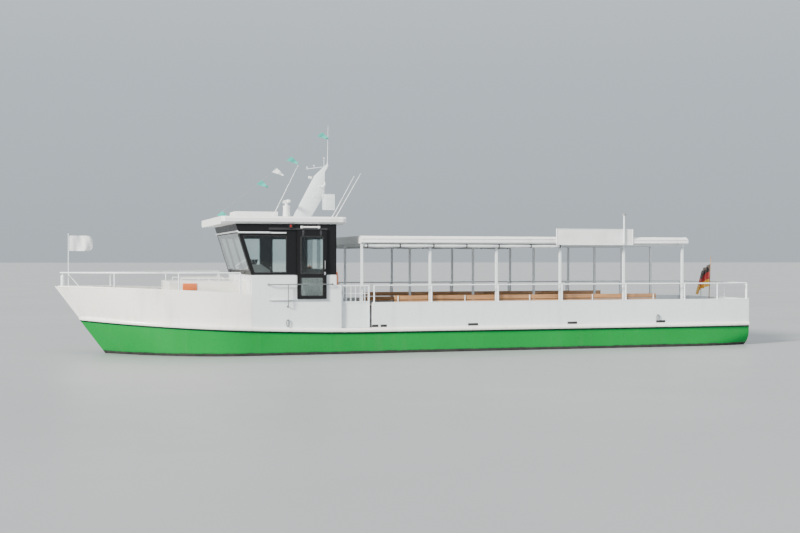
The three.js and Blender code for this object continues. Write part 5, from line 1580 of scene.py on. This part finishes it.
def dress(node, material, bevel):
    """Gives a carried-over CAD node its material and soft edges."""
    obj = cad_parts[node]
    obj.data.materials.clear()
    obj.data.materials.append(material)
    if bevel:
        softer = obj.modifiers.new("soft_edges", "BEVEL")
        softer.width = bevel
        softer.segments = 2
        softer.limit_method = "ANGLE"
        softer.angle_limit = math.radians(35)


for node, finish in KEPT.items():
    dress(node, *finish)
for node, finish in SIDE_KEPT.items():
    for side_name in SIDES:
        dress(f"{node}_{side_name}", *finish)


# Floor at the waterline, and soft studio light: a bright overhead sky, a darker horizon, one broad key
FLOOR_REACH = 900.0
SKY = [(0.0, (0.47, 0.53, 0.58)), (0.15, (0.55, 0.62, 0.68)), (0.5, (0.95, 1.0, 1.0)), (1.0, (1.0, 1.0, 1.0))]
SKY_STRENGTH = 1.1
LIGHTS = [
    ("key", 9.5, 12.0, (1.0, 0.96, 0.89), (-0.87, -0.41, -0.45)),
    ("fill", 0.7, 40.0, (0.88, 0.94, 1.0), (0.8, -0.9, -0.35)),
]


def make_floor():
    corners = [(-1, -1), (1, -1), (1, 1), (-1, 1)]
    data = bpy.data.meshes.new("floor")
    data.from_pydata([(x * FLOOR_REACH, y * FLOOR_REACH, 0.0) for x, y in corners], [], [(0, 1, 2, 3)])
    look = Look("studio_floor")
    look.colour(look.patches(0.12, 4, (0.30, 0.315, 0.33), (0.335, 0.35, 0.365), end=0.7))
    look.rough(look.patches(0.4, 3, 0.36, 0.44, end=0.7, seed=3))
    data.materials.append(look.material)
    link("floor", data)


def make_light():
    world = bpy.data.worlds.new("studio")
    bpy.context.scene.world = world
    world.use_nodes = True
    nodes, links = world.node_tree.nodes, world.node_tree.links
    place = nodes.new("ShaderNodeTexCoord")
    axes = nodes.new("ShaderNodeSeparateXYZ")
    ramp = nodes.new("ShaderNodeValToRGB")
    set_stops(ramp.color_ramp, SKY)
    links.new(place.outputs["Generated"], axes.inputs[0])
    links.new(axes.outputs[2], ramp.inputs["Fac"])
    links.new(ramp.outputs["Color"], nodes["Background"].inputs["Color"])
    nodes["Background"].inputs["Strength"].default_value = SKY_STRENGTH
    for name, energy, spread, colour, towards in LIGHTS:
        sun = bpy.data.lights.new(name, "SUN")
        sun.energy = energy
        sun.angle = math.radians(spread)
        sun.color = colour
        link(name, sun).rotation_euler = Vector(towards).to_track_quat("-Z", "Y").to_euler()


make_floor()
make_light()
